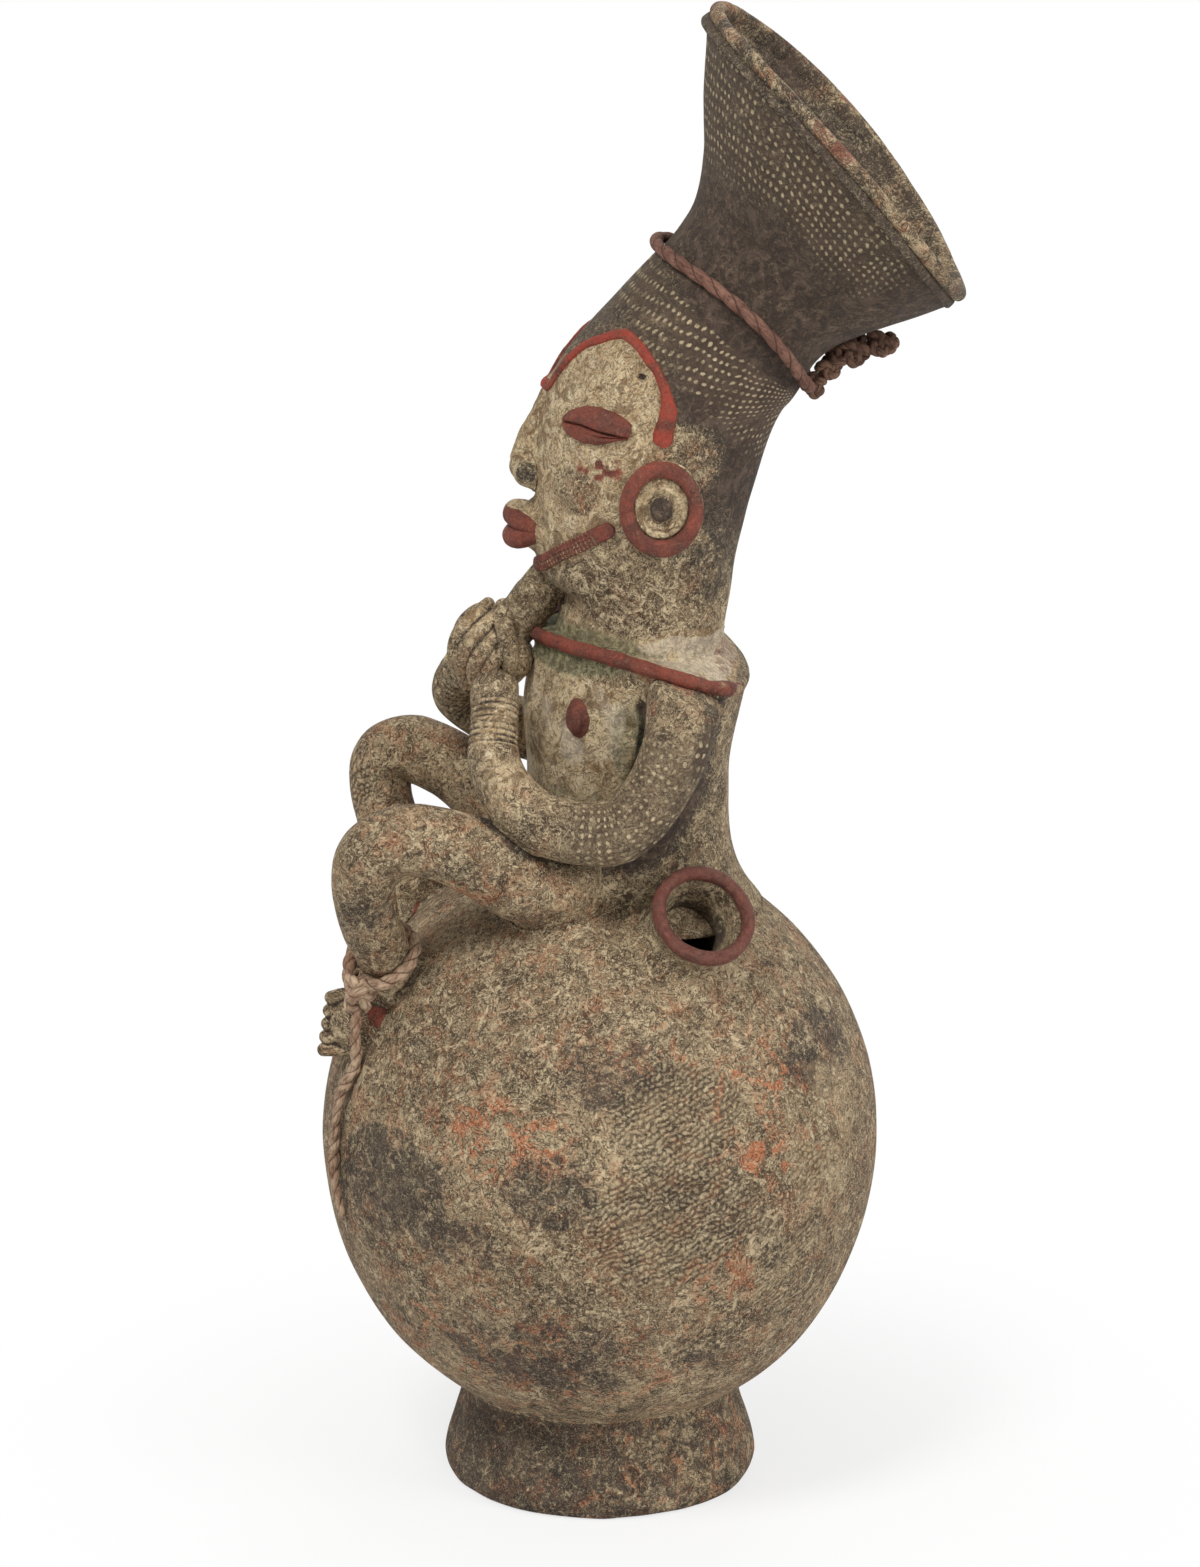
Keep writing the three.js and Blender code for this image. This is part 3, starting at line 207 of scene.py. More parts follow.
def grid(rows, joined=False, along=None):
    """Surface over rings of points: (rings, points, 3). Its ends are capped, or joined to each other."""
    rings, count = rows.shape[:2]
    last = rings if joined else rings - 1
    i, j = np.meshgrid(np.arange(last), np.arange(count), indexing="ij")
    near, far = i * count, ((i + 1) % rings) * count
    side = (j + 1) % count
    faces = np.stack([near + j, near + side, far + side, far + j], axis=-1).reshape(-1, 4).tolist()
    points = rows.reshape(-1, 3)
    corners = None
    if along is not None:
        # the first value runs round each ring and closes on its full length
        u, v = along
        wide = np.concatenate([u, (2 * u[:, -1:] - u[:, -2:-1])], axis=1)
        here, around = np.arange(last), np.roll(v, -1, 1)
        there = (here + 1) % rings
        pairs = ((wide[:, :-1], v, here), (wide[:, 1:], around, here),
                 (wide[:, 1:], around, there), (wide[:, :-1], v, there))
        corners = np.stack([np.stack([a[ring], b[ring]], -1) for a, b, ring in pairs], axis=2)
        corners = corners.reshape(-1, 4, 2).tolist()
    if not joined:
        for ring, turn in ((0, -1), (rings - 1, 1)):
            hub = len(points)
            points = np.vstack([points, rows[ring].mean(axis=0)])
            for k in range(count):
                pair = [ring * count + k, ring * count + (k + 1) % count]
                faces.append([hub, *pair[::turn]])
                if corners is not None:
                    corners.append([[0.0, 0.0]] * 3)
    return Shape(points, faces, corners).outwards()


def frames_along(line):
    """Direction, and two square to it that turn as little as they can, at each place of a line."""
    t = unit(np.gradient(line, axis=0))
    n = np.empty_like(t)
    n[0] = unit(np.cross(t[0], [0.13, 0.37, 0.92]))
    for k in range(1, len(t)):
        n[k] = unit(n[k - 1] - t[k] * np.dot(n[k - 1], t[k]))
    return t, n, np.cross(t, n)


def tube(line, radii, sides, around=None, round_end=0.6):
    """Round tube along a line with domed ends. around(angle, place) scales the radius."""
    radii = np.broadcast_to(np.asarray(radii, float), (len(line),))
    t, n, b = frames_along(line)
    dome = np.radians([86.0, 70.0, 50.0, 30.0, 12.0])
    s = lengths(line)
    out = round_end * np.sin(dome)
    place = [line[0] - t[0] * radii[0] * out[:, None], line, line[-1] + t[-1] * radii[-1] * out[::-1, None]]
    place = np.concatenate(place)
    size = np.concatenate([radii[0] * np.cos(dome), radii, radii[-1] * np.cos(dome[::-1])])
    pick = np.pad(np.arange(len(line)), len(dome), "edge")
    way = np.concatenate([s[0] - radii[0] * out, s, s[-1] + radii[-1] * out[::-1]])
    angle = full_turn(sides)
    scale = np.ones((len(place), sides)) if around is None else around(angle[None, :], way[:, None])
    spoke = np.cos(angle)[None, :, None] * n[pick][:, None] + np.sin(angle)[None, :, None] * b[pick][:, None]
    rows = place[:, None] + spoke * (size[:, None] * scale)[..., None]
    u = angle[None, :] * size.mean() * np.ones((len(place), 1))
    return grid(rows, along=(u, way[:, None] * np.ones((1, sides))))


def ellipsoid(place, halves):
    """Ball stretched to its half sizes."""
    polar = np.radians(np.linspace(2.0, 178.0, 32))[:, None]
    angle = full_turn(48)[None, :]
    ball = [np.sin(polar) * np.cos(angle), np.sin(polar) * np.sin(angle), np.cos(polar) * np.ones_like(angle)]
    return grid(np.stack(ball, -1) * np.asarray(halves, float) + np.asarray(place, float))


def ring_of(sections, angles, grow=0.0):
    """Points of trunk sections: place x and z, half depth and width, tilt, egg shape, bow and list."""
    x, z, depth, width, tilt, egg, bow, lean = (sections[:, k:k + 1] for k in range(8))
    grow = np.asarray(grow, float).reshape(-1, 1)
    tilt = np.radians(tilt)
    a = angles[None, :]
    along = (depth + grow) * np.cos(a)
    across = (width + grow) * np.sin(a) * (1 - egg * np.cos(a))
    lift = bow * np.sin(a) ** 2 + lean * np.sin(a)
    return np.stack([
        x - along * np.cos(tilt) + lift * np.sin(tilt),
        -across,
        z + along * np.sin(tilt) + lift * np.cos(tilt),
    ], axis=-1)


def section(x, z, depth, width, tilt=0.0, egg=0.0, bow=0.0, lean=0.0):
    return np.array([x, z, depth, width, tilt, egg, bow, lean], float)


def lifted(s, distance):
    moved = s.copy()
    moved[0] += distance * math.sin(math.radians(s[4]))
    moved[1] += distance * math.cos(math.radians(s[4]))
    return moved


def grown(s, more):
    moved = s.copy()
    moved[2:4] += more
    return moved


def close_to(points, others, reach):
    """Numbers of the points within reach of the others' box."""
    low, high = others.min(axis=0) - reach, others.max(axis=0) + reach
    return np.nonzero(np.all((points > low) & (points < high), axis=1))[0]


def weld(shape, others, reach, sink=0.9):
    """Draws a surface out to a soft fillet where it meets other surfaces, as luted and smoothed clay."""
    normals = shape.normals()
    points = shape.points
    moved = points.copy()
    for other in others:
        for i in close_to(points, other.points, reach):
            place, facing, _, away = other.tree().find_nearest(Vector(points[i]), reach)
            if place is None:
                continue
            place, facing = np.array(place), np.array(facing)
            gap = away if np.dot(points[i] - place, facing) > 0 else -away
            if gap < -0.7 * reach:
                continue
            step = np.zeros(3)
            for _ in range(3):
                own, near = np.dot(step, normals[i]), gap + np.dot(step, facing)
                h = max(reach - abs(own - near), 0.0) / reach
                level = min(own, near) - h * h * reach / 4
                part = h / 2 if own < near else 1 - h / 2
                slope = (1 - part) * normals[i] + part * facing
                goal = -sink * max(-gap, 0.0) ** 1.5 / reach**0.5
                step -= (level - goal) * slope / max(np.dot(slope, slope), 0.2)
            moved[i] += step
    shape.points = moved
    return shape


def settle(shape, amount, size, seed=1):
    """Unevenness of a hand-built surface."""
    normals = shape.normals()
    shape.points = shape.points + normals * (amount * rough(shape.points, size, 3, seed))[:, None]
    return shape


def creases(shape, low, high):
    """1 in the hollows of a surface, 0 on its crowns."""
    faces = [index for index, _ in shape.corner_points()]
    edges = np.concatenate([f[:, [k, (k + 1) % f.shape[1]]] for f in faces for k in range(f.shape[1])])
    a, b = np.concatenate([edges, edges[:, ::-1]]).T
    count = np.maximum(np.bincount(a, minlength=len(shape.points)), 1)

    def around(values):
        return np.bincount(a, values[b], len(shape.points)) / count

    pull = np.stack([around(shape.points[:, k]) for k in range(3)], 1) - shape.points
    depth = np.sum(pull * shape.normals(), axis=1)
    for _ in range(3):
        depth = around(depth)
    return smoothstep(low, high, depth)


def touching(points, others, reach):
    """1 where a surface meets other shapes, 0 from reach away."""
    near = np.zeros(len(points))
    for other in others:
        for i in close_to(points, other.points, reach):
            place, _, _, away = other.tree().find_nearest(Vector(points[i]), reach)
            if place is not None:
                near[i] = max(near[i], 1.0 - away / reach)
    return near


# ---------------------------------------------------------------- Blender objects
def in_scene(name, data):
    obj = bpy.data.objects.new(name, data)
    bpy.context.scene.collection.objects.link(obj)
    return obj


def mesh_of(name, points, faces):
    mesh = bpy.data.meshes.new(name)
    mesh.from_pydata((points * MM).tolist(), [], faces)
    return mesh


def as_modified(obj):
    return bpy.data.meshes.new_from_object(obj.evaluated_get(bpy.context.evaluated_depsgraph_get()))


def together(shapes):
    """Points of several shapes one after the other, and their faces to match."""
    faces, start = [], 0
    for shape in shapes:
        faces += [[k + start for k in f] for f in shape.faces]
        start += len(shape.points)
    return np.vstack([shape.points for shape in shapes]), faces


def merged(shapes, voxel, smooth):
    """One skin over overlapping shapes, its creases softened."""
    obj = in_scene("skin", mesh_of("skin", *together(shapes)))
    remesh = obj.modifiers.new("skin", "REMESH")
    remesh.mode = "VOXEL"
    remesh.voxel_size = voxel * MM
    relax = obj.modifiers.new("relax", "SMOOTH")
    relax.factor = 0.5
    relax.iterations = smooth
    done = as_modified(obj)
    rough_mesh = obj.data
    bpy.data.objects.remove(obj)
    bpy.data.meshes.remove(rough_mesh)
    where = np.empty(len(done.vertices) * 3)
    done.vertices.foreach_get("co", where)
    result = Shape(where.reshape(-1, 3) / MM, [list(p.vertices) for p in done.polygons])
    bpy.data.meshes.remove(done)
    return result.outwards()


def build(name, shape, material, replaces):
    """Blender object of a shape, with its paint masks, riding on the vessel."""
    mesh = mesh_of(name, shape.points, shape.faces)
    mesh.polygons.foreach_set("use_smooth", np.ones(len(mesh.polygons), bool))
    for label, values in (("paint", shape.paint), ("marks", shape.marks)):
        layer = mesh.color_attributes.new(label, "FLOAT_COLOR", "POINT")
        layer.data.foreach_set("color", np.clip(values, 0.0, 1.0).ravel())
    if shape.along is not None:
        layer = mesh.uv_layers.new(name="along")
        flat = np.array([c for face in shape.along for c in face]) / UV_LENGTH / shape.pitch
        layer.data.foreach_set("uv", flat.ravel())
    mesh.materials.append(material)
    mesh.update()
    obj = in_scene(name, mesh)
    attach(obj, "root")
    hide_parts(*replaces)
    return obj


def drill(obj, holes):
    """Cuts holes, each given as two rings of points, through a closed piece."""
    for rows in holes:
        shape = grid(rows)
        cutter = in_scene("cutter", mesh_of("cutter", shape.points, shape.faces))
        modifier = obj.modifiers.new("hole", "BOOLEAN")
        modifier.operation = "DIFFERENCE"
        modifier.solver = "MANIFOLD"
        modifier.object = cutter
        done = as_modified(obj)
        obj.modifiers.clear()
        obj.data = done
        bpy.data.objects.remove(cutter)


# ---------------------------------------------------------------- materials
def srgb(r, g, b):
    """Colour as seen on a screen, 0 to 255, in linear light."""
    linear = [c / 255 / 12.92 if c <= 10 else ((c / 255 + 0.055) / 1.055) ** 2.4 for c in (r, g, b)]
    return (*linear, 1.0)


class Look:
    """Node tree of a material or a world, written as nested calls."""

    def __init__(self, owner):
        owner.use_nodes = True
        self.owner = owner
        self.tree = owner.node_tree
        self.where = None

    def put(self, socket, value):
        if isinstance(value, bpy.types.NodeSocket):
            self.tree.links.new(value, socket)
        else:
            socket.default_value = value

    def node(self, kind, sockets=(), **settings):
        """Outputs of a new node. sockets pairs each socket's name or number with its value or link."""
        made = self.tree.nodes.new("ShaderNode" + kind)
        for name, value in settings.items():
            setattr(made, name, value)
        for key, value in sockets:
            self.put(made.inputs[key], value)
        return made.outputs

    def vector(self, operation, a, b):
        sockets = [(0, a), ("Scale" if operation == "SCALE" else 1, b)]
        return self.node("VectorMath", sockets, operation=operation)[0]

    def math(self, operation, a, b=0.0):
        return self.node("Math", [(0, a), (1, b)], operation=operation)[0]

    def times(self, a, b):
        return self.math("MULTIPLY", a, b)

    def plus(self, a, b):
        return self.math("ADD", a, b)

    def minus(self, a, b):
        return self.math("SUBTRACT", a, b)

    def noise(self, size, detail=4.0, roughness=0.55, warp=0.0, shift=0.0, where=None):
        place = self.where if where is None else where
        if shift:
            place = self.vector("ADD", place, (shift, shift * 0.7, -shift))
        return self.node("TexNoise", [("Vector", place), ("Scale", 1.0 / size), ("Detail", detail),
                                      ("Roughness", roughness), ("Distortion", warp)])["Fac"]

    def step(self, value, low, high, out=1.0, start=0.0):
        sockets = [("Value", value), ("From Min", low), ("From Max", high), ("To Min", start), ("To Max", out)]
        return self.node("MapRange", sockets, interpolation_type="SMOOTHSTEP")["Result"]

    def vein(self, size, wide, warp, shift):
        """Thin curling lines, as fibres or fine cracks."""
        off = self.math("ABSOLUTE", self.minus(self.noise(size, 2.0, 0.55, warp, shift), 0.5))
        return self.step(off, wide, wide * 0.3)

    def cells(self, place, shape):
        """Distance from the middle of each cell of a lattice, in cells."""
        flat = self.vector("SUBTRACT", self.vector("FRACTION", place, (0, 0, 0)), (0.5, 0.5, 0.0))
        stretched = self.vector("MULTIPLY", flat, (*shape, 0.0))
        return self.node("VectorMath", [(0, stretched)], operation="LENGTH")["Value"]

    def where_more(self, mask, spread, much, low, high, out=1.0):
        """Mask made ragged by a noise."""
        return self.step(self.plus(mask, self.times(self.minus(spread, 0.5), much)), low, high, out)

    def mix(self, factor, a, b):
        return self.node("Mix", [(0, factor), (6, a), (7, b)], data_type="RGBA")[2]

    def layers(self, colour, *over):
        """Colour with others laid over it, each given with how much of it shows."""
        for factor, other in over:
            colour = self.mix(factor, colour, other)
        return colour

    def attribute(self, name):
        layer = self.node("Attribute", attribute_name=name)
        return [*self.node("SeparateColor", [(0, layer["Color"])])[:3], layer["Alpha"]]

    def along(self, stretch=(UV_LENGTH, UV_LENGTH)):
        return self.vector("MULTIPLY", self.node("UVMap", uv_map="along")[0], (*stretch, 0.0))

    def bump(self, height, distance, strength):
        return self.node("Bump", [("Height", height), ("Distance", distance * MM), ("Strength", strength)])[0]

    def finish(self, colour, roughness, normal):
        shader = self.tree.nodes["Principled BSDF"].inputs
        for name, value in (("Base Color", colour), ("Roughness", roughness), ("Normal", normal),
                            ("Specular IOR Level", 0.32)):
            self.put(shader[name], value)
        return self.owner

    def blend(self, output, factor, a, b):
        """Ends the tree in two shaders mixed by a factor."""
        both = self.node("MixShader", [(0, factor), (1, a), (2, b)])[0]
        self.put(self.tree.nodes[output].inputs["Surface"], both)


def surface_look(name):
    """Material whose noises run over the piece's own coordinates, in millimetres."""
    look = Look(bpy.data.materials.new(name))
    look.where = look.vector("SCALE", look.node("TexCoord")["Object"], 1.0 / MM)
    return look


DOT_PITCH = (2.5, 2.9)
GRAIN_PITCH = (3.3, 2.5)


def clay_look():
    """Smoked, crusted and painted clay, steered by the paint and marks masks."""
    look = surface_look("clay")
    step, cloud, times, mix = look.step, look.noise, look.times, look.mix
    red, pale, smoke_and_shade, green = look.attribute("paint")
    dots, comb, rust, wear = look.attribute("marks")

    broad = cloud(44.0, 5.0, 0.6, 0.4)
    patchy = cloud(13.0, 6.0, 0.68, 0.6, 31.0)
    crust = cloud(5.6, 7.0, 0.74, 1.8, 57.0)
    fibre = cloud(2.7, 4.0, 0.7, 2.6, 11.0)
    straw = look.vein(3.9, 0.036, 2.4, 7.0)
    gaps = look.vein(4.8, 0.036, 2.0, 23.0)

    # bare clay, with rusty patches where it was fired hotter
    rusty = times(rust, step(cloud(10.0, 7.0, 0.72, 0.9, 83.0), 0.5, 0.6))
    body = look.layers(
        mix(step(broad, 0.38, 0.62), srgb(100, 80, 58), srgb(164, 140, 108)),
        (step(patchy, 0.42, 0.62, 0.6), srgb(132, 112, 86)),
        (step(cloud(14.0, 6.0, 0.62, 1.0, 64.0), 0.5, 0.6, 0.8), srgb(74, 59, 43)),
        (step(cloud(8.0, 6.0, 0.66, 1.6, 98.0), 0.53, 0.62, 0.78), srgb(218, 196, 158)),
        (step(crust, 0.5, 0.62, 0.66), srgb(210, 190, 154)),
        (step(fibre, 0.48, 0.32, 0.86), srgb(54, 41, 29)),
        (times(rusty, 0.78), srgb(192, 110, 70)),
        (step(cloud(22.0, 6.0, 0.7, 0.5, 19.0), 0.54, 0.7, 0.42), srgb(160, 100, 68)),
        (times(straw, 0.7), srgb(222, 204, 166)),
        (times(gaps, 0.8), srgb(54, 41, 30)),
    )

    # soot and painted shade, broken so that clay shows between its flecks, and closed only where the smoke and shade
    # mask is near 1
    soot_and_shade = step(look.plus(cloud(9.0, 8.0, 0.76, 1.2, 40.0), times(look.minus(smoke_and_shade, 0.5), 0.8)), 0.5, 0.64)
    cover = look.minus(look.minus(0.88, times(straw, 0.4)), step(crust, 0.52, 0.66, 0.42))
    deep_soot_and_shade = look.layers(
        mix(step(crust, 0.42, 0.66), srgb(52, 41, 35), srgb(96, 77, 64)),
        (step(cloud(12.0, 6.0, 0.64, 1.0, 17.0), 0.48, 0.62, 0.6), srgb(112, 93, 80)),
    )
    body = look.layers(
        body,
        (times(soot_and_shade, cover), mix(step(patchy, 0.4, 0.6), srgb(46, 39, 35), srgb(74, 62, 54))),
        (step(smoke_and_shade, 0.66, 0.94, 0.88), deep_soot_and_shade),
    )

    # pale slip, worn through to the clay
    slip = look.layers(
        mix(step(patchy, 0.38, 0.64), srgb(214, 190, 150), srgb(168, 140, 102)),
        (step(crust, 0.5, 0.66, 0.75), srgb(232, 217, 184)),
        (step(fibre, 0.48, 0.32, 0.75), srgb(96, 74, 52)),
        (times(straw, 0.6), srgb(238, 224, 192)),
        (times(gaps, 0.72), srgb(104, 82, 58)),
        (step(cloud(8.5, 6.0, 0.64, 1.4, 27.0), 0.5, 0.6, 0.72), srgb(112, 84, 56)),
        (step(pale, 0.84, 1.0, 0.34), srgb(232, 222, 204)),
    )
    stain = look.where_more(green, cloud(5.0, 6.0, 0.72, 0.9, 71.0), 1.1, 0.36, 0.8, 0.66)
    body = look.layers(
        body,
        (look.where_more(pale, patchy, 0.9, 0.28, 0.6), slip),
        (stain, mix(step(crust, 0.42, 0.6), srgb(78, 82, 60), srgb(158, 156, 118))),
    )

    # red ochre, darker in hollows and rubbed thin; brightest where it is thick and little worn
    fresh = times(step(wear, 0.3, 0.0, 0.62), step(red, 0.8, 0.98))
    ochre = look.layers(
        mix(step(patchy, 0.38, 0.6), srgb(96, 48, 38), srgb(142, 70, 54)),
        (step(cloud(6.0, 5.0, 0.7, 0.6, 37.0), 0.56, 0.72, 0.6), srgb(172, 64, 46)),
        (step(cloud(7.0, 5.0, 0.7, 0.8, 47.0), 0.54, 0.7, 0.7), srgb(78, 54, 48)),
        (step(fibre, 0.45, 0.3, 0.7), srgb(58, 34, 28)),
        (times(straw, 0.4), srgb(176, 128, 100)),
        (times(fresh, step(cloud(8.0, 5.0, 0.66, 0.8, 52.0), 0.4, 0.56)), srgb(178, 66, 48)),
        (times(wear, 0.85), mix(step(crust, 0.4, 0.6), srgb(78, 50, 44), srgb(116, 80, 68))),
    )
    painted = look.where_more(red, crust, 0.7, 0.3, 0.56)
    body = mix(times(painted, step(patchy, 0.22, 0.33)), body, ochre)

    # rows of pressed dots, filled with pale dust
    def sway(size, much):
        colour = look.node("TexNoise", [("Vector", look.where), ("Scale", 1 / size)])["Color"]
        return look.vector("SCALE", look.vector("SUBTRACT", colour, (0.5, 0.5, 0.5)), much)

    lattice = look.along((UV_LENGTH / DOT_PITCH[0], UV_LENGTH / DOT_PITCH[1]))
    far = look.cells(look.vector("ADD", lattice, sway(11.0, 1.2)), (1.0, 1.25))
    dot = step(look.plus(far, times(look.minus(fibre, 0.5), 0.5)), 0.34, 0.2)
    pressed = times(dot, look.where_more(dots, patchy, 0.6, 0.16, 0.34))
    filled = times(times(pressed, dots), step(cloud(7.0, 4.0, 0.7, shift=23.0), 0.34, 0.6, 0.95))

    # rouletted ground: slanting rows of small pale grains with dark gaps, each row moved on by half a grain
    turn = [("Vector", look.along()), ("Angle", math.radians(-24))]
    slant = look.node("VectorRotate", turn, rotation_type="Z_AXIS")[0]
    rows = look.vector("MULTIPLY", slant, (1 / GRAIN_PITCH[0], 1 / GRAIN_PITCH[1], 0.0))
    whole = look.vector("SUBTRACT", rows, look.vector("FRACTION", rows, (0, 0, 0)))
    half = look.node("SeparateXYZ", [(0, look.vector("MULTIPLY", whole, (0.0, 0.5, 0.0)))])[1]
    shove = look.node("CombineXYZ", [(0, half)])[0]
    ripple = look.vector("ADD", sway(11.0, 2.6), sway(6.0, 1.6))
    grain_far = look.cells(look.vector("ADD", look.vector("ADD", rows, shove), ripple), (0.9, 1.0))
    rolled = look.where_more(comb, patchy, 1.3, 0.34, 0.56)
    dent = times(step(grain_far, 0.34, 0.52), rolled)
    grain = times(step(grain_far, 0.34, 0.14), rolled)
    body = look.layers(
        body,
        (times(dots, 0.5), srgb(86, 69, 54)),
        (filled, srgb(204, 184, 148)),
        (times(dent, 0.6), srgb(66, 52, 38)),
        (times(grain, 0.4), srgb(206, 187, 150)),
    )

    height = look.plus(times(crust, 0.6), times(fibre, 0.45))
    height = look.plus(height, times(look.minus(straw, gaps), 0.3))
    height = look.plus(height, times(grain, 0.5))
    holes = look.plus(times(pressed, 0.9), times(dent, 0.5))
    shine = look.minus(step(crust, 0.3, 0.7, 0.14), times(painted, 0.12))
    return look.finish(body, look.plus(0.74, shine), look.bump(look.minus(height, holes), 0.9, 0.9))


def rope_look(name, pale, mid, dark, red=0.0):
    """Twisted plant fibre, lighter on its crowns, with painted shade between its strands."""
    look = surface_look(name)
    fine = look.noise(1.1, 4.0, 0.7, 0.4, where=look.along((UV_LENGTH, 30.0)))
    crown = look.attribute("paint")[0]
    body = look.layers(
        look.mix(look.step(look.noise(9.0, 5.0, 0.65, 0.6, 7.0), 0.35, 0.65), mid, pale),
        (look.step(fine, 0.56, 0.34, 0.7), dark),
        # painted shade in the grooves between the strands
        (look.step(crown, 0.45, 0.1, 0.85), dark),
    )
    if red:
        stained = look.step(look.noise(14.0, 4.0, 0.6, 0.5, 29.0), 0.46, 0.6, red)
        body = look.mix(stained, body, srgb(142, 62, 46))
    fuzz = look.plus(fine, look.times(look.noise(0.7, 3.0, 0.7), 0.5))
    return look.finish(body, 0.9, look.bump(fuzz, 0.5, 0.8))


CLAY = clay_look()
TAN_ROPE = rope_look("tan_rope", srgb(196, 170, 142), srgb(142, 112, 90), srgb(64, 46, 34), 0.1)
RED_CORD = rope_look("red_brown_cord", srgb(136, 100, 84), srgb(108, 74, 61), srgb(58, 37, 30))
DARK_CORD = rope_look("dark_cord", srgb(124, 94, 76), srgb(88, 62, 50), srgb(38, 25, 21))


# ---------------------------------------------------------------- courses shared by several pieces
def on_belly(azimuth, rise, proud=0.0):
    a, r = math.radians(azimuth), math.radians(rise)
    halves = np.array([BELLY_RADIUS, BELLY_RADIUS, BELLY_HALF_HEIGHT])
    place = np.array([math.cos(r) * math.cos(a), math.cos(r) * math.sin(a), math.sin(r)]) * halves
    return place + unit(place / halves**2) * proud + POT_CENTRE


ARM_START = [[20, 1, -2], [16, 8, -22], [6, 10.5, -42], [-5.6, 11.5, -53.6], [-21, 11.5, -55]]
FOREARMS = {
    "left": [[-37, 11, -51], [-49, 7, -41.5], [-55.3, 0, -29], [-55.4, -8.5, -15], [-55.6, -17, -4]],
    "right": [[-41, 11, -50], [-61, 6, -41], [-73.5, -4, -29], [-72, -16, -17], [-61, -25, -6]],
}
ARM_RADII = [14.8, 13.8, 12.8, 12.8, 12.8, 12.3, 11.8, 10.5, 9.5, 9.5]
LEGS = {
    "left": [[-26, 40, 1], [-43, 50, 3], [-57, 57.5, 13], [-76, 62, 21.5], [-92, 64, 23.5], [-103, 63.5, 17],
             [-106.1, 61, 5.5], [-105, 53, -12], [-100.7, 42, -28], [-98.7, 35, -38]],
    "right": [[-26, 40, -2], [-43, 50, -4], [-57, 57.5, 2], [-77.5, 62, 16.5], [-95.4, 64, 22.5], [-105.6, 63.5, 17],
              [-106.1, 61, 4.5], [-101, 53, -10], [-95, 42, -21], [-91, 35, -29]],
}
LEG_RADII = [16.5, 17, 16.5, 14.8, 14.2, 13.8, 12.7, 12.3, 11.4, 10.6]
ANKLE_RADIUS = 10.6


def arm_path(name):
    course = ARM_START + FOREARMS[name]
    return np.array([[x, SIDES[name] * (y + CHEST_HALF_WIDTH), z + TORSO_TOP_Z] for x, y, z in course])


def leg_path(name):
    return np.array([[x, SIDES[name] * y, z + SEAT_Z] for x, y, z in LEGS[name]])


def radii_along(radii, count):
    share = np.linspace(0.0, 1.0, count)
    return np.interp(share, np.linspace(0.0, 1.0, len(radii)), radii)


def twisted(line, radius, pitch, plies=2, sides=28, waver=0.06, seed=3, deep=0.26):
    """Cord of twisted plies along a line. The paint mask holds how far each point stands out."""
    turn = 2 * math.pi / pitch

    def around(angle, way):
        lobes = np.abs(np.cos((angle - turn * way) * plies / 2))
        return 1 - deep + deep * lobes**0.7

    shape = tube(line, radius, sides, around, 0.5)
    shape.paint[:, 0] = 1.0
    middle = np.repeat(np.arange(len(line) + 10), sides)
    rows = shape.points[:len(middle)].reshape(-1, sides, 3)
    centre = rows.mean(axis=1, keepdims=True)
    out = np.linalg.norm(rows - centre, axis=-1)
    crown = (out / np.maximum(out.max(axis=1, keepdims=True), 1e-6) - 1 + deep) / deep
    shape.paint[:len(middle), 0] = np.clip(crown, 0, 1).ravel()
    size = float(np.max(radius))
    return settle(shape, size * waver, size * 2.2, seed)


# ---------------------------------------------------------------- cords
def ankle_loop(name):
    side = SIDES[name]
    above, ankle = leg_path(name)[-2:]
    up_leg = unit(above - ankle)
    middle = ankle + up_leg * 8.0
    normal = unit(up_leg + np.array([-0.2, 0.0, 0.0]))
    back = np.array([0.76, -side * 0.65, 0.0])
    back = unit(back - normal * np.dot(back, normal))
    across = np.cross(normal, back)
    return middle, back, across, ANKLE_RADIUS + 0.8 + 0.3 + ROPE_RADIUS + 0.3


def loop_place(loop, angle):
    middle, back, across, radius = loop
    return middle + back * math.cos(angle) * radius + across * math.sin(angle) * radius


def knot_place(name):
    return loop_place(ankle_loop(name), math.pi) + np.array([-0.4, SIDES[name] * 1.8, -4.0])


LYING = ROPE_RADIUS + 0.3 + 0.4
left_knot = knot_place("left")
tail_course = spline([
    left_knot + [0, -1, -7.8],
    left_knot + [-0.3, -1.2, -20],
    left_knot + [-0.6, 0.4, -32.5],
    on_belly(-155.6, 15.5, LYING + 0.4),
    on_belly(-156, 8, LYING),
    on_belly(-156, 2, LYING),
    on_belly(-154.6, -3.5, LYING),
    on_belly(-152.6, -8, LYING),
])
tail_line = evenly(tail_course, 180)
tail_length = lengths(tail_line)[-1]


def rope_tail():
    """Free end of the ankle rope, with a knot low down and a frayed tip."""
    way = lengths(tail_line)
    knots = sum(np.exp(-((way - place) / 2.8) ** 2) for place in (17.0, 34.0, 66.0))
    size = ROPE_RADIUS * (0.82 + 0.2 * knots - 0.14 * smoothstep(70, 88, way))
    return twisted(tail_line, size, 13.0, waver=0.09, deep=0.36)


rope_tail_piece = build("rope_tail", rope_tail(), TAN_ROPE, ["ankle_rope_tail"])
[tuple(float(v) for v in p) for p in evenly(tail_course, 30) * MM]

# ---------------------------------------------------------------- trunk and pot, before they are welded together
SHOULDER_TILT, SHOULDER_EGG, SHOULDER_BOW = 12.0, 0.3, 7.5


def head_z(share):
    return NECK_Z + HEAD_HEIGHT * share


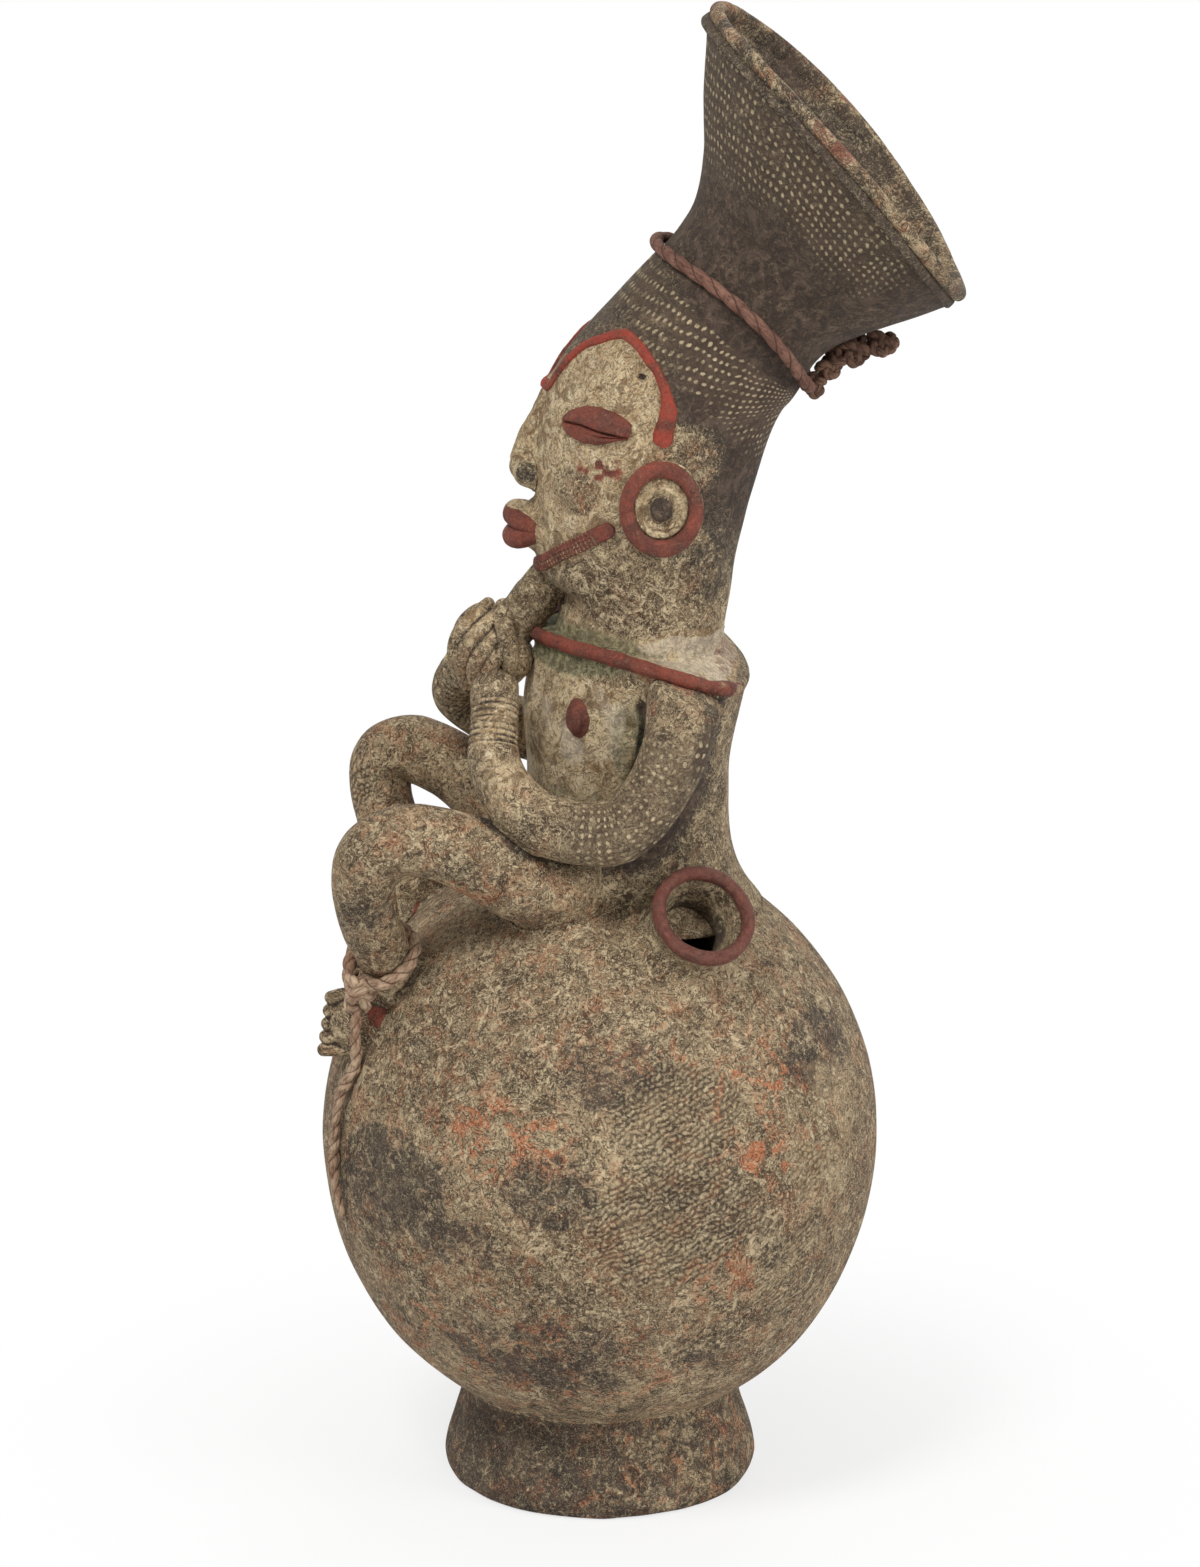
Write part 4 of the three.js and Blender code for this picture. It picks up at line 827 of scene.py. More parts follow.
torso_top = section(1, TORSO_TOP_Z - 2.5, 42.6, 49, SHOULDER_TILT, SHOULDER_EGG, SHOULDER_BOW)
torso_controls = np.array([
    section(0, SEAT_Z - 20, 48.8, 53),
    section(-2, SEAT_Z - 2, 41.8, 44),
    section(-3.2, SEAT_Z + 21.06, 39.8, 41),
    section(-3.2, SEAT_Z + 39.69, 39.8, 42.5, 1.4, 0.08),
    section(-2.3, SEAT_Z + 59.13, 42.2, 45.5, 5, 0.2, 3),
    torso_top,
])
ridge_line = grown(lifted(torso_top, 5), 1.5)
yoke_slope = section(0.9, NECK_Z - 3, 38, 42.25, 9.6, 0.15, 4.125)
neck_base = section(0.75, NECK_Z - 1, 33.4, 36, 7.2, 0, 1)
cord_line = section(37, CORD_LINE_Z - 0.7, 38.3, 39.3, 43.4, 0, 8, 3)
head_controls = np.array([
    lifted(neck_base, 0.3),
    section(1.3, head_z(0.06), 33.4, 35.5, 4.5, 0, 0.5),
    section(1.5, head_z(0.143), 35.5, 36),
    section(-0.4, head_z(0.216), 39.1, 38, -3.7),
    section(0.4, head_z(0.33), 41.2, 40.5, -2),
    section(2, head_z(0.445), 42.5, 41.5, 2),
    section(5.2, head_z(0.59), 45.4, 42.5, 0.6),
    section(9.7, head_z(0.713), 47, 42.5, 2.5),
    section(15.2, head_z(0.793), 45.9, 42, 9.5),
    section(22.9, head_z(0.871), 42.6, 41, 19, 0, 2.4, 0.9),
    section(30.5, head_z(0.94), 39.5, 39.8, 31, 0, 5.2, 1.95),
    cord_line,
])


def between(a, b, count):
    share = np.linspace(0.0, 1.0, count, endpoint=False)[:, None]
    return a[None] * (1 - share) + b[None] * share


def ease(rows, times):
    """Softens the steps from row to row, its first and last kept."""
    rows = rows.copy()
    for _ in range(times):
        rows[1:-1] = rows[1:-1] * 0.5 + (rows[:-2] + rows[2:]) * 0.25
    return rows


def walled(outer, wall, around):
    """Rings up the outside of a wall and back down its inside, where each third one is enough."""
    inner = outer[::-1][::3]
    sections = np.vstack([outer, inner])
    grow = np.concatenate([np.zeros(len(outer)), np.full(len(inner), -wall)])
    angles = full_turn(around)
    rows = ring_of(sections, angles, grow)
    mean_radius = float(np.mean(sections[:, 2:4]))
    step = np.linalg.norm(np.diff(rows.mean(axis=1), axis=0), axis=1)
    way = np.concatenate([[0.0], np.cumsum(step)])
    u = angles[None, :] * mean_radius * np.ones((len(rows), 1))
    return grid(rows, joined=True, along=(u, way[:, None] * np.ones((1, len(angles)))))


torso_rows = spline(torso_controls, 14, even_parts=True)
shelf_rows = np.vstack([
    between(torso_top, ridge_line, 7),
    between(ridge_line, yoke_slope, 9),
    between(yoke_slope, neck_base, 8),
])
head_rows = spline(head_controls, 14, even_parts=True)
shelf_rows = ease(np.vstack([torso_rows[-2:], shelf_rows[1:], head_rows[:3]]), 6)[1:-3]
trunk_outer = np.vstack([torso_rows[:-1], shelf_rows, head_rows])
trunk = walled(trunk_outer, TRUNK_WALL, 380)
trunk_core = grid(ring_of(trunk_outer[::2], full_turn(160)))


def turned_rows(profile, centre, angles, axis=None):
    """Rings of a turned shape from [radius, height] pairs, about an upright or a leaning axis."""
    profile = np.asarray(profile, float)
    radius, height = profile[:, :1], profile[:, 1:]
    flat = [radius * np.cos(angles), radius * np.sin(angles), height * np.ones((1, len(angles)))]
    flat = np.stack(flat, -1)
    if axis is not None:
        w = unit(np.asarray(axis, float))
        u = unit(np.cross([0.0, 0.0, 1.0], w))
        flat = flat @ np.stack([u, np.cross(w, u), w])
    return flat + np.asarray(centre, float)


def belly_profile(low, high, inset, count):
    rise = np.radians(np.linspace(low, high, count))
    return np.stack([(BELLY_RADIUS - inset) * np.cos(rise), (BELLY_HALF_HEIGHT - inset) * np.sin(rise)], 1)


def belly_shape(around, up, down):
    angles = full_turn(around)
    outer = belly_profile(-89.5, 89.5, 0.0, up)
    profile = np.vstack([outer, belly_profile(89.5, -89.5, BELLY_WALL, down)])
    rows = turned_rows(profile, POT_CENTRE, angles)
    u = angles[None, :] * BELLY_RADIUS * np.ones((len(profile), 1))
    up_wall = np.concatenate([lengths(outer), np.zeros(down)])
    v = up_wall[:, None] * np.ones((1, around))
    return grid(rows, joined=True, along=(u, v))


SPOUT_AXIS = unit(np.array([0.327, -0.666, 0.667]))
SPOUT_ROOT = on_belly(-54.7, 56.5)
SPOUT_REACH, SPOUT_BORE = 23.0, 12.5
spout_angles = full_turn(120)
spout_profile = [[12.7, -14], [21.5, -14], [20.6, -6], [19.4, 0], [18.3, 5], [18.0, 10], [18.6, 14], [19.6, 17.4],
                 [19.0, 19.8], [16.8, 19.6], [15.4, 16.5], [13.8, 10], [12.9, 2]]


def rounded(profile, per):
    """Closed profile run smoothly through its corners."""
    p = np.asarray(profile, float)
    ring = spline(np.vstack([p[-2:], p, p[:2]]), per)
    return ring[2 * per:-(1 + per)][:-per]


def spout_shape():
    rows = turned_rows(rounded(spout_profile, 6), SPOUT_ROOT, spout_angles, SPOUT_AXIS)
    return grid(rows, joined=True)


def spout_rim_shape():
    middle, half = 18.5, 2.7
    angle = np.linspace(0.0, 2 * math.pi, 36, endpoint=False)
    profile = np.stack([middle + half * np.cos(angle), SPOUT_REACH - 2.9 + 2.9 * np.sin(angle)], 1)
    return grid(turned_rows(profile, SPOUT_ROOT, full_turn(160), SPOUT_AXIS), joined=True)


def foot_ring_shape():
    outer = [[58.5, 0.0], [61.5, 0.6], [63.6, 5.5], [63.2, 11], [61.2, 18], [58.4, 27], [56.2, 35], [55.2, 43]]
    outer = spline(outer, 12)
    inner = spline([[44.0, 43], [45.5, 30], [48.5, 12], [50.0, 3], [52.0, 0.3], [55.0, 0.0]], 6)
    profile = np.vstack([outer, inner])
    angles = full_turn(420)
    u = angles[None, :] * 60.0 * np.ones((len(profile), 1))
    v = lengths(profile)[:, None] * np.ones((1, 420))
    return grid(turned_rows(profile, [POT_CENTRE[0], 0, 0], angles), joined=True, along=(u, v))


def limb_shape(path, radii, count, sides, rings=None):
    """Arm or leg. rings: where a banded stretch starts and stops before the limb's end, its pitch and depth."""
    line = evenly(spline(path), count)
    total = lengths(line)[-1]

    def bands(way):
        """How deep in a groove, and how high on a crown, a place of the banded stretch is."""
        start, stop, pitch, _ = rings
        left = total - way
        window = smoothstep(stop, stop + 1.5, left) * (1 - smoothstep(start - 1.5, start, left))
        wave = 0.5 * np.cos(2 * math.pi * left / pitch)
        return window * np.array([0.5 + wave, 0.5 - wave])

    def banded(angle, way):
        return 1 - rings[3] * bands(way)[0] + 0 * angle

    shape = tube(line, radii_along(radii, count), sides, banded if rings else None)
    if rings:
        way = np.concatenate([np.zeros(5), lengths(line), np.full(5, total)])
        shape.bands = np.pad(np.repeat(bands(way), sides, axis=1), ((0, 0), (0, 2)))
    return shape


belly = belly_shape(500, 290, 30)
belly_core = belly_shape(150, 80, 4)
foot_ring = foot_ring_shape()
spout, spout_rim = spout_shape(), spout_rim_shape()
ANKLE_RINGS, WRIST_RINGS = (7.0, 0.2, 2.6, 0.08), (26.0, 6.0, 2.4, 0.07)
legs = {name: limb_shape(leg_path(name), LEG_RADII, 300, 96, ANKLE_RINGS) for name in SIDES}
arms = {name: limb_shape(arm_path(name), ARM_RADII, 420, 90, WRIST_RINGS) for name in SIDES}
leg_cores = {name: limb_shape(leg_path(name), LEG_RADII, 60, 32) for name in SIDES}
arm_cores = {name: limb_shape(arm_path(name), ARM_RADII, 60, 32) for name in SIDES}
both_legs, both_arms = list(leg_cores.values()), list(arm_cores.values())


TOE_PITCH = 5.5


def foot_parts(name):
    """Thick foot pressed against the belly, with five toes side by side."""
    ankle = leg_path(name)[-1]
    x, y, z = ankle[0] - 8.5, ankle[1], ankle[2] - ANKLE_RADIUS - 14.5 + 1.4
    parts = [ellipsoid([x + 2.5, y, z], [18, 9.0, 15.0]), ellipsoid([ankle[0] - 1, y, ankle[2] - 8], [9.6, 10, 10])]
    for k in range(5):
        up = z + (2 - k) * TOE_PITCH
        tip = [x - 17.6 + (4 - k) * 0.8, y + SIDES[name] * 0.5, up - 0.6]
        line = spline([[x - 2, y, up * 0.9 + z * 0.1], [x - 9, y, up], tip], 8)
        parts.append(tube(line, np.linspace(4.0, 2.7, len(line)), 24, None, 0.9))
    return parts


feet = {name: merged(foot_parts(name), 0.5, 1) for name in SIDES}

# ---------------------------------------------------------------- hands and beard
BEARD_TOP = np.array([-32.0, 0.0, NECK_Z + 25])
BEARD_END = np.array([-55.0, 0.0, TORSO_TOP_Z + 5])
beard_line = evenly(spline([BEARD_TOP + [4, 0, 5], BEARD_TOP, (BEARD_TOP + BEARD_END) / 2, BEARD_END]), 120)
beard = tube(beard_line, np.interp(np.linspace(0, 1, 120), [0, 0.15, 0.5, 1], [9.4, 8.8, 9.4, 9.4]), 80)
beard_core = tube(beard_line[::4], 9.2, 24)


# Fingers from the wrist up and over the beard, each as [x, out, z]; the last one is the thumb
FINGERS = [
    [[-69.5, 14, 340], [-72, 16.6, 350], [-70.4, 17.4, 358.5], [-65.4, 15.6, 364.5], [-59, 8, 368.5]],
    [[-67, 16.5, 338], [-69, 19.8, 347.5], [-66.8, 20.6, 355], [-62, 19, 360.8], [-55.5, 12, 365.5]],
    [[-62.3, 18.2, 337.5], [-64.2, 21.4, 345], [-62, 22, 351], [-58.2, 20.4, 356.3], [-52.5, 14, 361]],
    [[-57.8, 19, 338.5], [-59.2, 22, 342.5], [-57.6, 22.4, 347], [-54.8, 21, 351.2], [-50.5, 16, 355.5]],
    [[-50.5, 17.5, 345], [-50.6, 20.4, 352], [-51.8, 19.6, 360], [-54, 13.5, 367.5]],
]


def hand_parts(name):
    """Cupped palm with its fingers folded over the beard and the other hand."""
    side = SIDES[name]
    mirror = np.array([1.0, side, 1.0])
    lower = [0, 0, -6.0 * (side > 0)]
    heel = ellipsoid(mirror * [-57, 12, 342.5], [13, 10, 8])
    palm = [([-60, 11, 351], [12, 9.4, 13]), ([-49, 11.5, 347], [7.6, 9, 9]),
            ([-64.5, 11.5, 351], [9.4, 9.4, 14]), ([-61, 5, 353], [12, 8, 12])]
    parts = [ellipsoid(mirror * place + lower, halves) for place, halves in palm] + [heel]
    for finger in FINGERS:
        line = spline(np.array(finger) * mirror + lower, 8)
        parts.append(tube(line, np.linspace(3.4, 2.8, len(line)) + 0.7 * (len(finger) == 4), 20, None, 0.9))
    return parts


hands = {name: merged(hand_parts(name), 0.5, 1) for name in SIDES}


# ---------------------------------------------------------------- nose and lips, still loose
def rod(places, radii, count, sides):
    """Round rod run smoothly through its places."""
    return tube(evenly(spline(places), count), radii_along(radii, count), sides)


TIP = np.array([-50.8, 0.0, 422.4])
nose = merged([
    rod(TIP + [[18, 0, 34], [13, 0, 22], [9.0, 0, 12.5], [6.2, 0, 3]], [2.2, 4.0, 5.4, 6.2], 40, 32),
    rod(TIP + [[23, 0, 24], [17, 0, 13], [14, 0, 2]], [5, 8, 9.5], 30, 32),
    ellipsoid(TIP + [6.0, 0, 0.6], [6.2, 6.6, 6.2]),
    *(ellipsoid(TIP + [8.6, side * 6.8, -0.2], [6.9, 5.9, 6.2]) for side in SIDES.values()),
], 0.5, 4)
LIP_PARTING = 399.3
LIP_BENDS = {"upper": 1.0, "lower": -1.0}
LIP_HALF = [[-36.0, 11.8, 0.6], [-41.0, 11.2, 1.9], [-45.6, 8.0, 3.6], [-48.4, 3.6, 4.4], [-48.9, 0, 4.5]]
lips = {}
for name, bend in LIP_BENDS.items():
    half_roll = [[x, y, LIP_PARTING + bend * z] for x, y, z in LIP_HALF]
    lips[name] = merged([
        rod(half_roll + [[x, -y, z] for x, y, z in half_roll[-2::-1]],
            [1.8, 3.2, 4.2, 4.6, 4.7, 4.6, 4.2, 3.2, 1.8], 80, 30),
        ellipsoid([-38.5, 0, LIP_PARTING + 4.6 * bend], [10, 11.6, 4.6]),
    ], 0.45, 3)


# ---------------------------------------------------------------- welding, wear and paint
def near_line(points, line, width):
    """1 on a line, falling to 0 at width from it."""
    best = np.full(len(points), np.inf)
    close = close_to(points, line, width)
    for start in range(0, len(close), 20000):
        part = close[start:start + 20000]
        best[part] = np.min(np.linalg.norm(points[part][:, None] - line[None], axis=2), axis=1)
    return 1.0 - smoothstep(width * 0.6, width, best)


def blob(points, centre, radii):
    """1 in the middle of a soft-edged spot, 0 outside it."""
    d = np.linalg.norm((points - np.asarray(centre, float)) / np.asarray(radii, float), axis=1)
    return 1.0 - smoothstep(0.55, 1.0, d)


def blobs(points, *spots):
    """Soft spots added up, each given as how much, its centre and its half sizes."""
    return sum(much * blob(points, centre, radii) for much, centre, radii in spots)


def general_smoke_and_shade(points, level):
    return level + 0.18 * noise(points, 70.0, 21)


def face_slip(points):
    return 0.82 + blobs(points, (-0.5, (-24, -32, 421), (17, 18, 13)), (-0.16, (-18, -34, 455), (16, 20, 10)))


def face_green(points):
    return blobs(points, (0.42, (-42, 0, 430), (12, 24, 20)), (0.44, (-38, 0, 410), (11, 40, 12)),
                 *((0.3, (-36, side * 20, 396), (12, 14, 12)) for side in SIDES.values()))


# Belly
weld(belly, [trunk_core], 5)
weld(belly, [*both_legs, spout], 9)
weld(belly, [foot_ring], 4)
settle(belly, 0.7, 55, 4)
p = belly.points
smoke_and_shade = general_smoke_and_shade(p, 0.3)
smoke_and_shade += (1 + 0.5 * noise(p, 18.0, 75)) * blobs(
    p, (0.42, (-92, -66, 152), (34, 50, 26)), (0.3, (-98, -50, 132), (30, 40, 24)),
    (0.42, (-32, -106, 158), (24, 30, 20)), (0.3, (-66, -88, 132), (26, 40, 16)),
    (0.3, (-10, -92, 204), (28, 40, 18)), (0.34, (78, -56, 200), (24, 40, 22)),
    (0.2, (-20, -96, 84), (90, 50, 26)), (0.4, (70, 70, 130), (60, 60, 50)))
# painted shade: the belly is painted darker towards its bottom
smoke_and_shade = np.minimum(smoke_and_shade + 0.16 * smoothstep(100, 40, p[:, 2]), 0.64 + 0.08 * noise(p, 9.0, 76))
# painted shade on the belly where the legs meet it
belly.paint[:, SMOKE_AND_SHADE] = smoke_and_shade + 0.4 * touching(p, both_legs, 8.0)
belly.paint[:, PALE] = 0.42 * blob(p, (76, -62, 168), (34, 44, 44)) + 0.14 * noise(p, 20.0, 77)
belly.marks[:, RUST] = 0.3 + blobs(
    p, (0.8, (54, -78, 180), (36, 40, 36)), (0.6, (-50, -94, 176), (46, 34, 20)),
    (0.4, (-50, -80, 80), (90, 60, 40)), (0.5, (8, -90, 208), (30, 30, 16)),
    (0.4, (40, -96, 120), (30, 30, 20)))
belly.marks[:, COMBING] = blobs(
    p, (0.9, (14, -104, 144), (42, 50, 34)), (0.8, (18, -96, 186), (34, 44, 26)),
    (0.42, (66, -66, 128), (40, 60, 56)))
pot = build("pot_belly", belly, CLAY, ["belly_bowl", "belly_dome"])
SEAT_HOLE = 27.0
drill(pot, [
    turned_rows([[SEAT_HOLE, -50], [SEAT_HOLE, 50]], [0, 0, SEAT_Z], full_turn(90)),
    turned_rows([[SPOUT_BORE + 0.5, -40], [SPOUT_BORE + 0.5, 14]], SPOUT_ROOT, spout_angles, SPOUT_AXIS),
])

# Foot ring
weld(foot_ring, [belly_core], 4)
settle(foot_ring, 0.5, 30, 6)
foot_ring.points[:, 2] = np.maximum(foot_ring.points[:, 2], 0.0)
# painted shade: the foot ring is painted dark all over, as the shade low down on the vessel
foot_ring.paint[:, SMOKE_AND_SHADE] = general_smoke_and_shade(foot_ring.points, 0.64)
foot_ring.marks[:, RUST] = 0.7
build("pot_foot_ring", foot_ring, CLAY, ["foot_ring"])

# Spout, darker and a little red down its bore
weld(spout, [belly_core], 9)
settle(spout, 0.35, 14, 8)
from_root = spout.points - SPOUT_ROOT
inside = np.linalg.norm(np.cross(from_root, SPOUT_AXIS), axis=1) < SPOUT_BORE + 3.5
deep = smoothstep(12, -2, from_root @ SPOUT_AXIS) * inside
spout.paint[:, SMOKE_AND_SHADE] = 0.3 + 0.7 * deep
spout.paint[:, RED] = 0.34 * deep
build("pouring_spout", spout, CLAY, ["spout"])
settle(spout_rim, 0.3, 12, 9)
spout_rim.paint[:, RED] = 1.0
spout_rim.marks[:, WEAR] = 0.75
build("spout_lip", spout_rim, CLAY, ["spout_rim"])


# Trunk
def outline_depth(points, outline):
    """Distance inside an outline of [x, z] places, below 0 outside it."""
    corner = np.asarray(outline, float)
    q = points[:, [0, 2]]
    best = np.full(len(q), np.inf)
    within = np.zeros(len(q), bool)
    for a, b in zip(corner, np.roll(corner, -1, axis=0)):
        run = b - a
        share = np.clip(((q - a) @ run) / max(run @ run, 1e-9), 0.0, 1.0)
        best = np.minimum(best, np.linalg.norm(q - a - share[:, None] * run, axis=1))
        crosses = (a[1] > q[:, 1]) != (b[1] > q[:, 1])
        rise = run[1] if abs(run[1]) > 1e-9 else 1e-9
        within ^= crosses & (q[:, 0] < a[0] + (q[:, 1] - a[1]) / rise * run[0])
    return np.where(within, best, -best)


def nearest_on(tree, place):
    spot, facing, _, _ = tree.find_nearest(Vector(place))
    return np.array(spot), np.array(facing)


CHEST_PANEL = [[-50, 349], [1, 345], [2.5, 330], [0, 316], [-4, 304], [-12, 291], [-26, 287], [-50, 289]]
HAIRLINE = [[10, 42.3, 441], [11, 42.4, 448.4], [12.6, 42.2, 455], [12.2, 41.5, 460.5], [10.6, 40.6, 466],
            [8.2, 39.3, 471], [4.3, 36.4, 476], [0, 31.9, 480.5], [-4.6, 26.8, 482.6], [-9.7, 23.1, 481],
            [-14.5, 19.7, 478.7], [-19.3, 15.0, 475.5], [-24.5, 12.3, 470.8], [-29.2, 9.8, 464.2],
            [-33.2, 7.4, 457.5]]
JAW = [[-62, 457], [-62, 380], [-39, 381], [-28, 391], [-18, 398.5], [-8.5, 406], [-5, 417], [-2, 428],
       [5, 435]]
FACE = [[x, z] for x, _, z in HAIRLINE] + JAW
BROW_PIT = (1.9, 468.7)
# painted marks as [x, z, width, how much]
CHEEK_MARKS = [(-19.2, 431.4, 5.4, 0.66), (-9.0, 432.0, 7.6, 0.5), (-14.0, 428.0, 8.0, 0.24), (21.0, 402, 9, 0.2)]

weld(trunk, [belly_core], 5)
weld(trunk, both_legs, 7)
weld(trunk, both_arms, 2.5)
weld(trunk, [nose], 6)
weld(trunk, list(lips.values()), 5)
weld(trunk, [beard_core], 2)
settle(trunk, 0.5, 40, 5)

# a groove beside the arms, the raised chest panel, the hollow under the chin and a pit in the brow
p = trunk.points
by_arm = touching(p, both_arms, 9.0) * (p[:, 2] < 340)
trunk.points = p - trunk.normals() * (1.2 * smoothstep(0.5, 0.9, by_arm))[:, None]
p = trunk.points
x, y, z = p.T
panel = outline_depth(p, CHEST_PANEL)
hollow = np.exp(-(((z - 373) / 7.0) ** 2)) * smoothstep(-14, -30, x) * smoothstep(356, 362, z)
trunk.points = p + trunk.normals() * (1.1 * smoothstep(-0.3, 0.5, panel + 0.8 * noise(p, 7.0, 44)))[:, None]
trunk.points[:, 0] += 4.6 * hollow
p = trunk.points
x, y, z = p.T
pit = np.exp(-(((x - BROW_PIT[0]) / 2.1) ** 2 + ((z - BROW_PIT[1]) / 1.4) ** 2) ** 2) * (y < 0)
trunk.points = p - trunk.normals() * (2.2 * pit)[:, None]
p = trunk.points
x, y, z = p.T
skin = trunk.tree()

# regions of the trunk
face = smoothstep(-1.2, 1.2, outline_depth(p, FACE) + 1.2 * noise(p, 5.0, 41)) * (z > 370)
below_cord = (np.array([37.0, 0, CORD_LINE_Z - 0.7]) - p) @ SEAM_NORMAL
ragged = 6.0 * noise(p, 16.0, 43)
hair = smoothstep(-12, 18, x * 0.55 + (z - 428) * 0.9 + ragged * 2.2) * (1 - face) * (z > 372)
high_back = smoothstep(4, 34, x + ragged) * smoothstep(365, 385, z)
nape = smoothstep(352, 362, z) * (1 - smoothstep(398, 424, z)) * (1 - face)
chest = smoothstep(-1.0, 1.0, panel)
shelf = smoothstep(345.5, 349, z + 3 * (x > 10)) * (1 - smoothstep(359, 367, z + 0.5 * ragged))
shelf *= smoothstep(0, 3, z - 352.0 + 0.28 * (x + 10))

pale = face_slip(p) * face + 0.22 * nape + (0.84 + 0.3 * noise(p, 9.0, 47)) * chest
pale += shelf * (0.62 + 0.42 * smoothstep(-8, 12, x + ragged) + 0.22 * noise(p, 6.0, 48))
pale += 0.2 * (z < 345) * (1 - chest)
smoke_and_shade = 0.2 + 0.5 * hair + 0.3 * high_back + 0.16 * nape * smoothstep(-20, 20, x)
smoke_and_shade += 0.14 * (z < 345) * (x > -5)
# painted shade: darker beside the arms, in the groove there; the brow pit is painted dark as well
smoke_and_shade += 0.25 * shelf * smoothstep(8, -14, x + ragged) + pit * 0.9 + 0.7 * by_arm
for name, side in SIDES.items():
    by_ear = blob(p, (19, side * 42, 436), (27, 18, 18)) * (1 - face)
    pale += 0.42 * by_ear * smoothstep(-0.3, 0.4, noise(p, 5.0, 46))
    smoke_and_shade -= 0.45 * by_ear
    flat = np.array([1.0, 0.0, 1.0])
    arm_line = evenly(spline(arm_path(name)), 90)[:66] * flat
    # painted shadow of the arm on the trunk: darker in a band beside the arm's course, on the sides facing out, below
    # the shoulder
    arm_shadow = near_line(p * flat + [0, 0, 5], arm_line, 25.0) * (y * side > 0) * (1 - smoothstep(334, 342, z))
    sideways = smoothstep(0.3, 0.8, side * trunk.normals()[:, 1])
    smoke_and_shade += 0.6 * arm_shadow * sideways * (1 - 0.7 * chest)
# no slip beside the arms or in the brow pit, so that the painted shade and the dark pit show
trunk.paint[:, PALE] = pale * (1 - 0.9 * by_arm) * (1 - pit)
trunk.paint[:, SMOKE_AND_SHADE] = smoke_and_shade
trunk.paint[:, GREEN] = face * face_green(p) + blobs(
    p, (0.8, (-20, 0, 356), (36, 120, 13)), (0.62, (-2, 0, 322), (13, 120, 34)),
    (0.52, (-20, 0, 292), (26, 120, 15)), (0.4, (-34, 0, 330), (20, 120, 40)), (0.42, (18, 0, 354), (18, 120, 6)))
blot = smoothstep(-0.5, 0.3, noise(p, 2.6, 45))
red = blobs(p, (0.42, (10, -50, 352), (14, 12, 6)), (0.4, (38, 0, 350), (14, 60, 9)))
for at_x, at_z, wide, much in CHEEK_MARKS:
    near = np.exp(-(((x - at_x) / wide) ** 2 + ((z - at_z) / (wide * 0.8)) ** 2))
    red += much * (0.35 + 0.65 * blot) * near
trunk.paint[:, RED] = red
trunk.pitch = 1.2
trunk.marks[:, DOTS] = 0.95 * hair * smoothstep(2, 5, below_cord) * (1 - smoothstep(22, 36, below_cord + ragged))
trunk.marks[:, RUST] = 0.3 * hair + 0.3 * chest + 0.5 * face * (z < 440)
build("figure_trunk", trunk, CLAY, ["torso", "shoulder_yoke", "head"])


# ---------------------------------------------------------------- relief laid on the trunk
def laid_line(places, count, side=1.0):
    """Even line on the trunk's skin through [x, out, z] places on one side."""
    course = np.asarray(places, float) * [1.0, side, 1.0]
    return np.array([nearest_on(skin, q)[0] for q in evenly(spline(course), count)])


def relief(line, half, height, across=30, sunk=1.4, upward=True):
    """Clay laid along a line on the skin. half is its half width at each place; height(share, across) its rise."""
    t = unit(np.gradient(line, axis=0))
    s = lengths(line)
    c = np.concatenate([np.linspace(-1, 1, across), np.linspace(1, -1, across)[1:-1]])
    rows = np.empty((len(line), len(c), 3))
    for i, place in enumerate(line):
        b = unit(np.cross(nearest_on(skin, place)[1], t[i]))
        if upward and b[2] < 0:
            b = -b
        for j, part in enumerate(c):
            base, out = nearest_on(skin, place + b * half[i] * part)
            rows[i, j] = base + out * (height(s[i] / s[-1], part) if j < across else -sunk)
    return grid(rows, along=(c[None, :] * np.asarray(half)[:, None], s[:, None] * np.ones((1, len(c)))))


def dome(part, fullness=2.4):
    return max(1.0 - abs(part) ** fullness, 0.0) ** (1.0 / fullness)


def paint_all(shape, red=0.0, pale=0.0, smoke_and_shade=0.2, wear=0.2):
    shape.paint[:] = [red, pale, smoke_and_shade, 0.0]
    shape.marks[:, WEAR] = wear
    return shape


def button(centre, facing, wide, tall, profile, around=120, closed=False):
    """Turned relief, wider or taller than round: profile gives [share of its radius, height]."""
    up = unit(np.array([0.0, 0.0, 1.0]) - facing * facing[2])
    cross = np.cross(up, facing)
    angle = full_turn(around)
    spoke = np.cos(angle)[:, None] * cross * wide + np.sin(angle)[:, None] * up * tall
    return grid(np.array([centre + spoke * r + facing * h for r, h in profile]), joined=closed)


def smooth_profile(profile):
    return spline([[r, h, 0] for r, h in profile], 4)[:, :2]


# Eye, with half heights and the place of its slit along it from its inner corner
EYE_COURSE = [[-28.4, 25, 447.4], [-24, 28.5, 447.6], [-18.7, 32, 447.9], [-13.2, 36, 448.2], [-7.6, 39, 448.3],
              [-2.2, 41, 447.0]]
EYE_ALONG = [0.0, 0.06, 0.16, 0.36, 0.57, 0.78, 0.92, 1.0]
EYE_HALF = [0.6, 3.0, 5.1, 7.4, 7.5, 6.0, 4.2, 3.2]
EYE_SLIT = [0.1, 0.08, 0.04, 0.0, -0.2, -0.42, -0.56, -0.6]
UPPER_LID, LOWER_LID = 3.9, 3.1


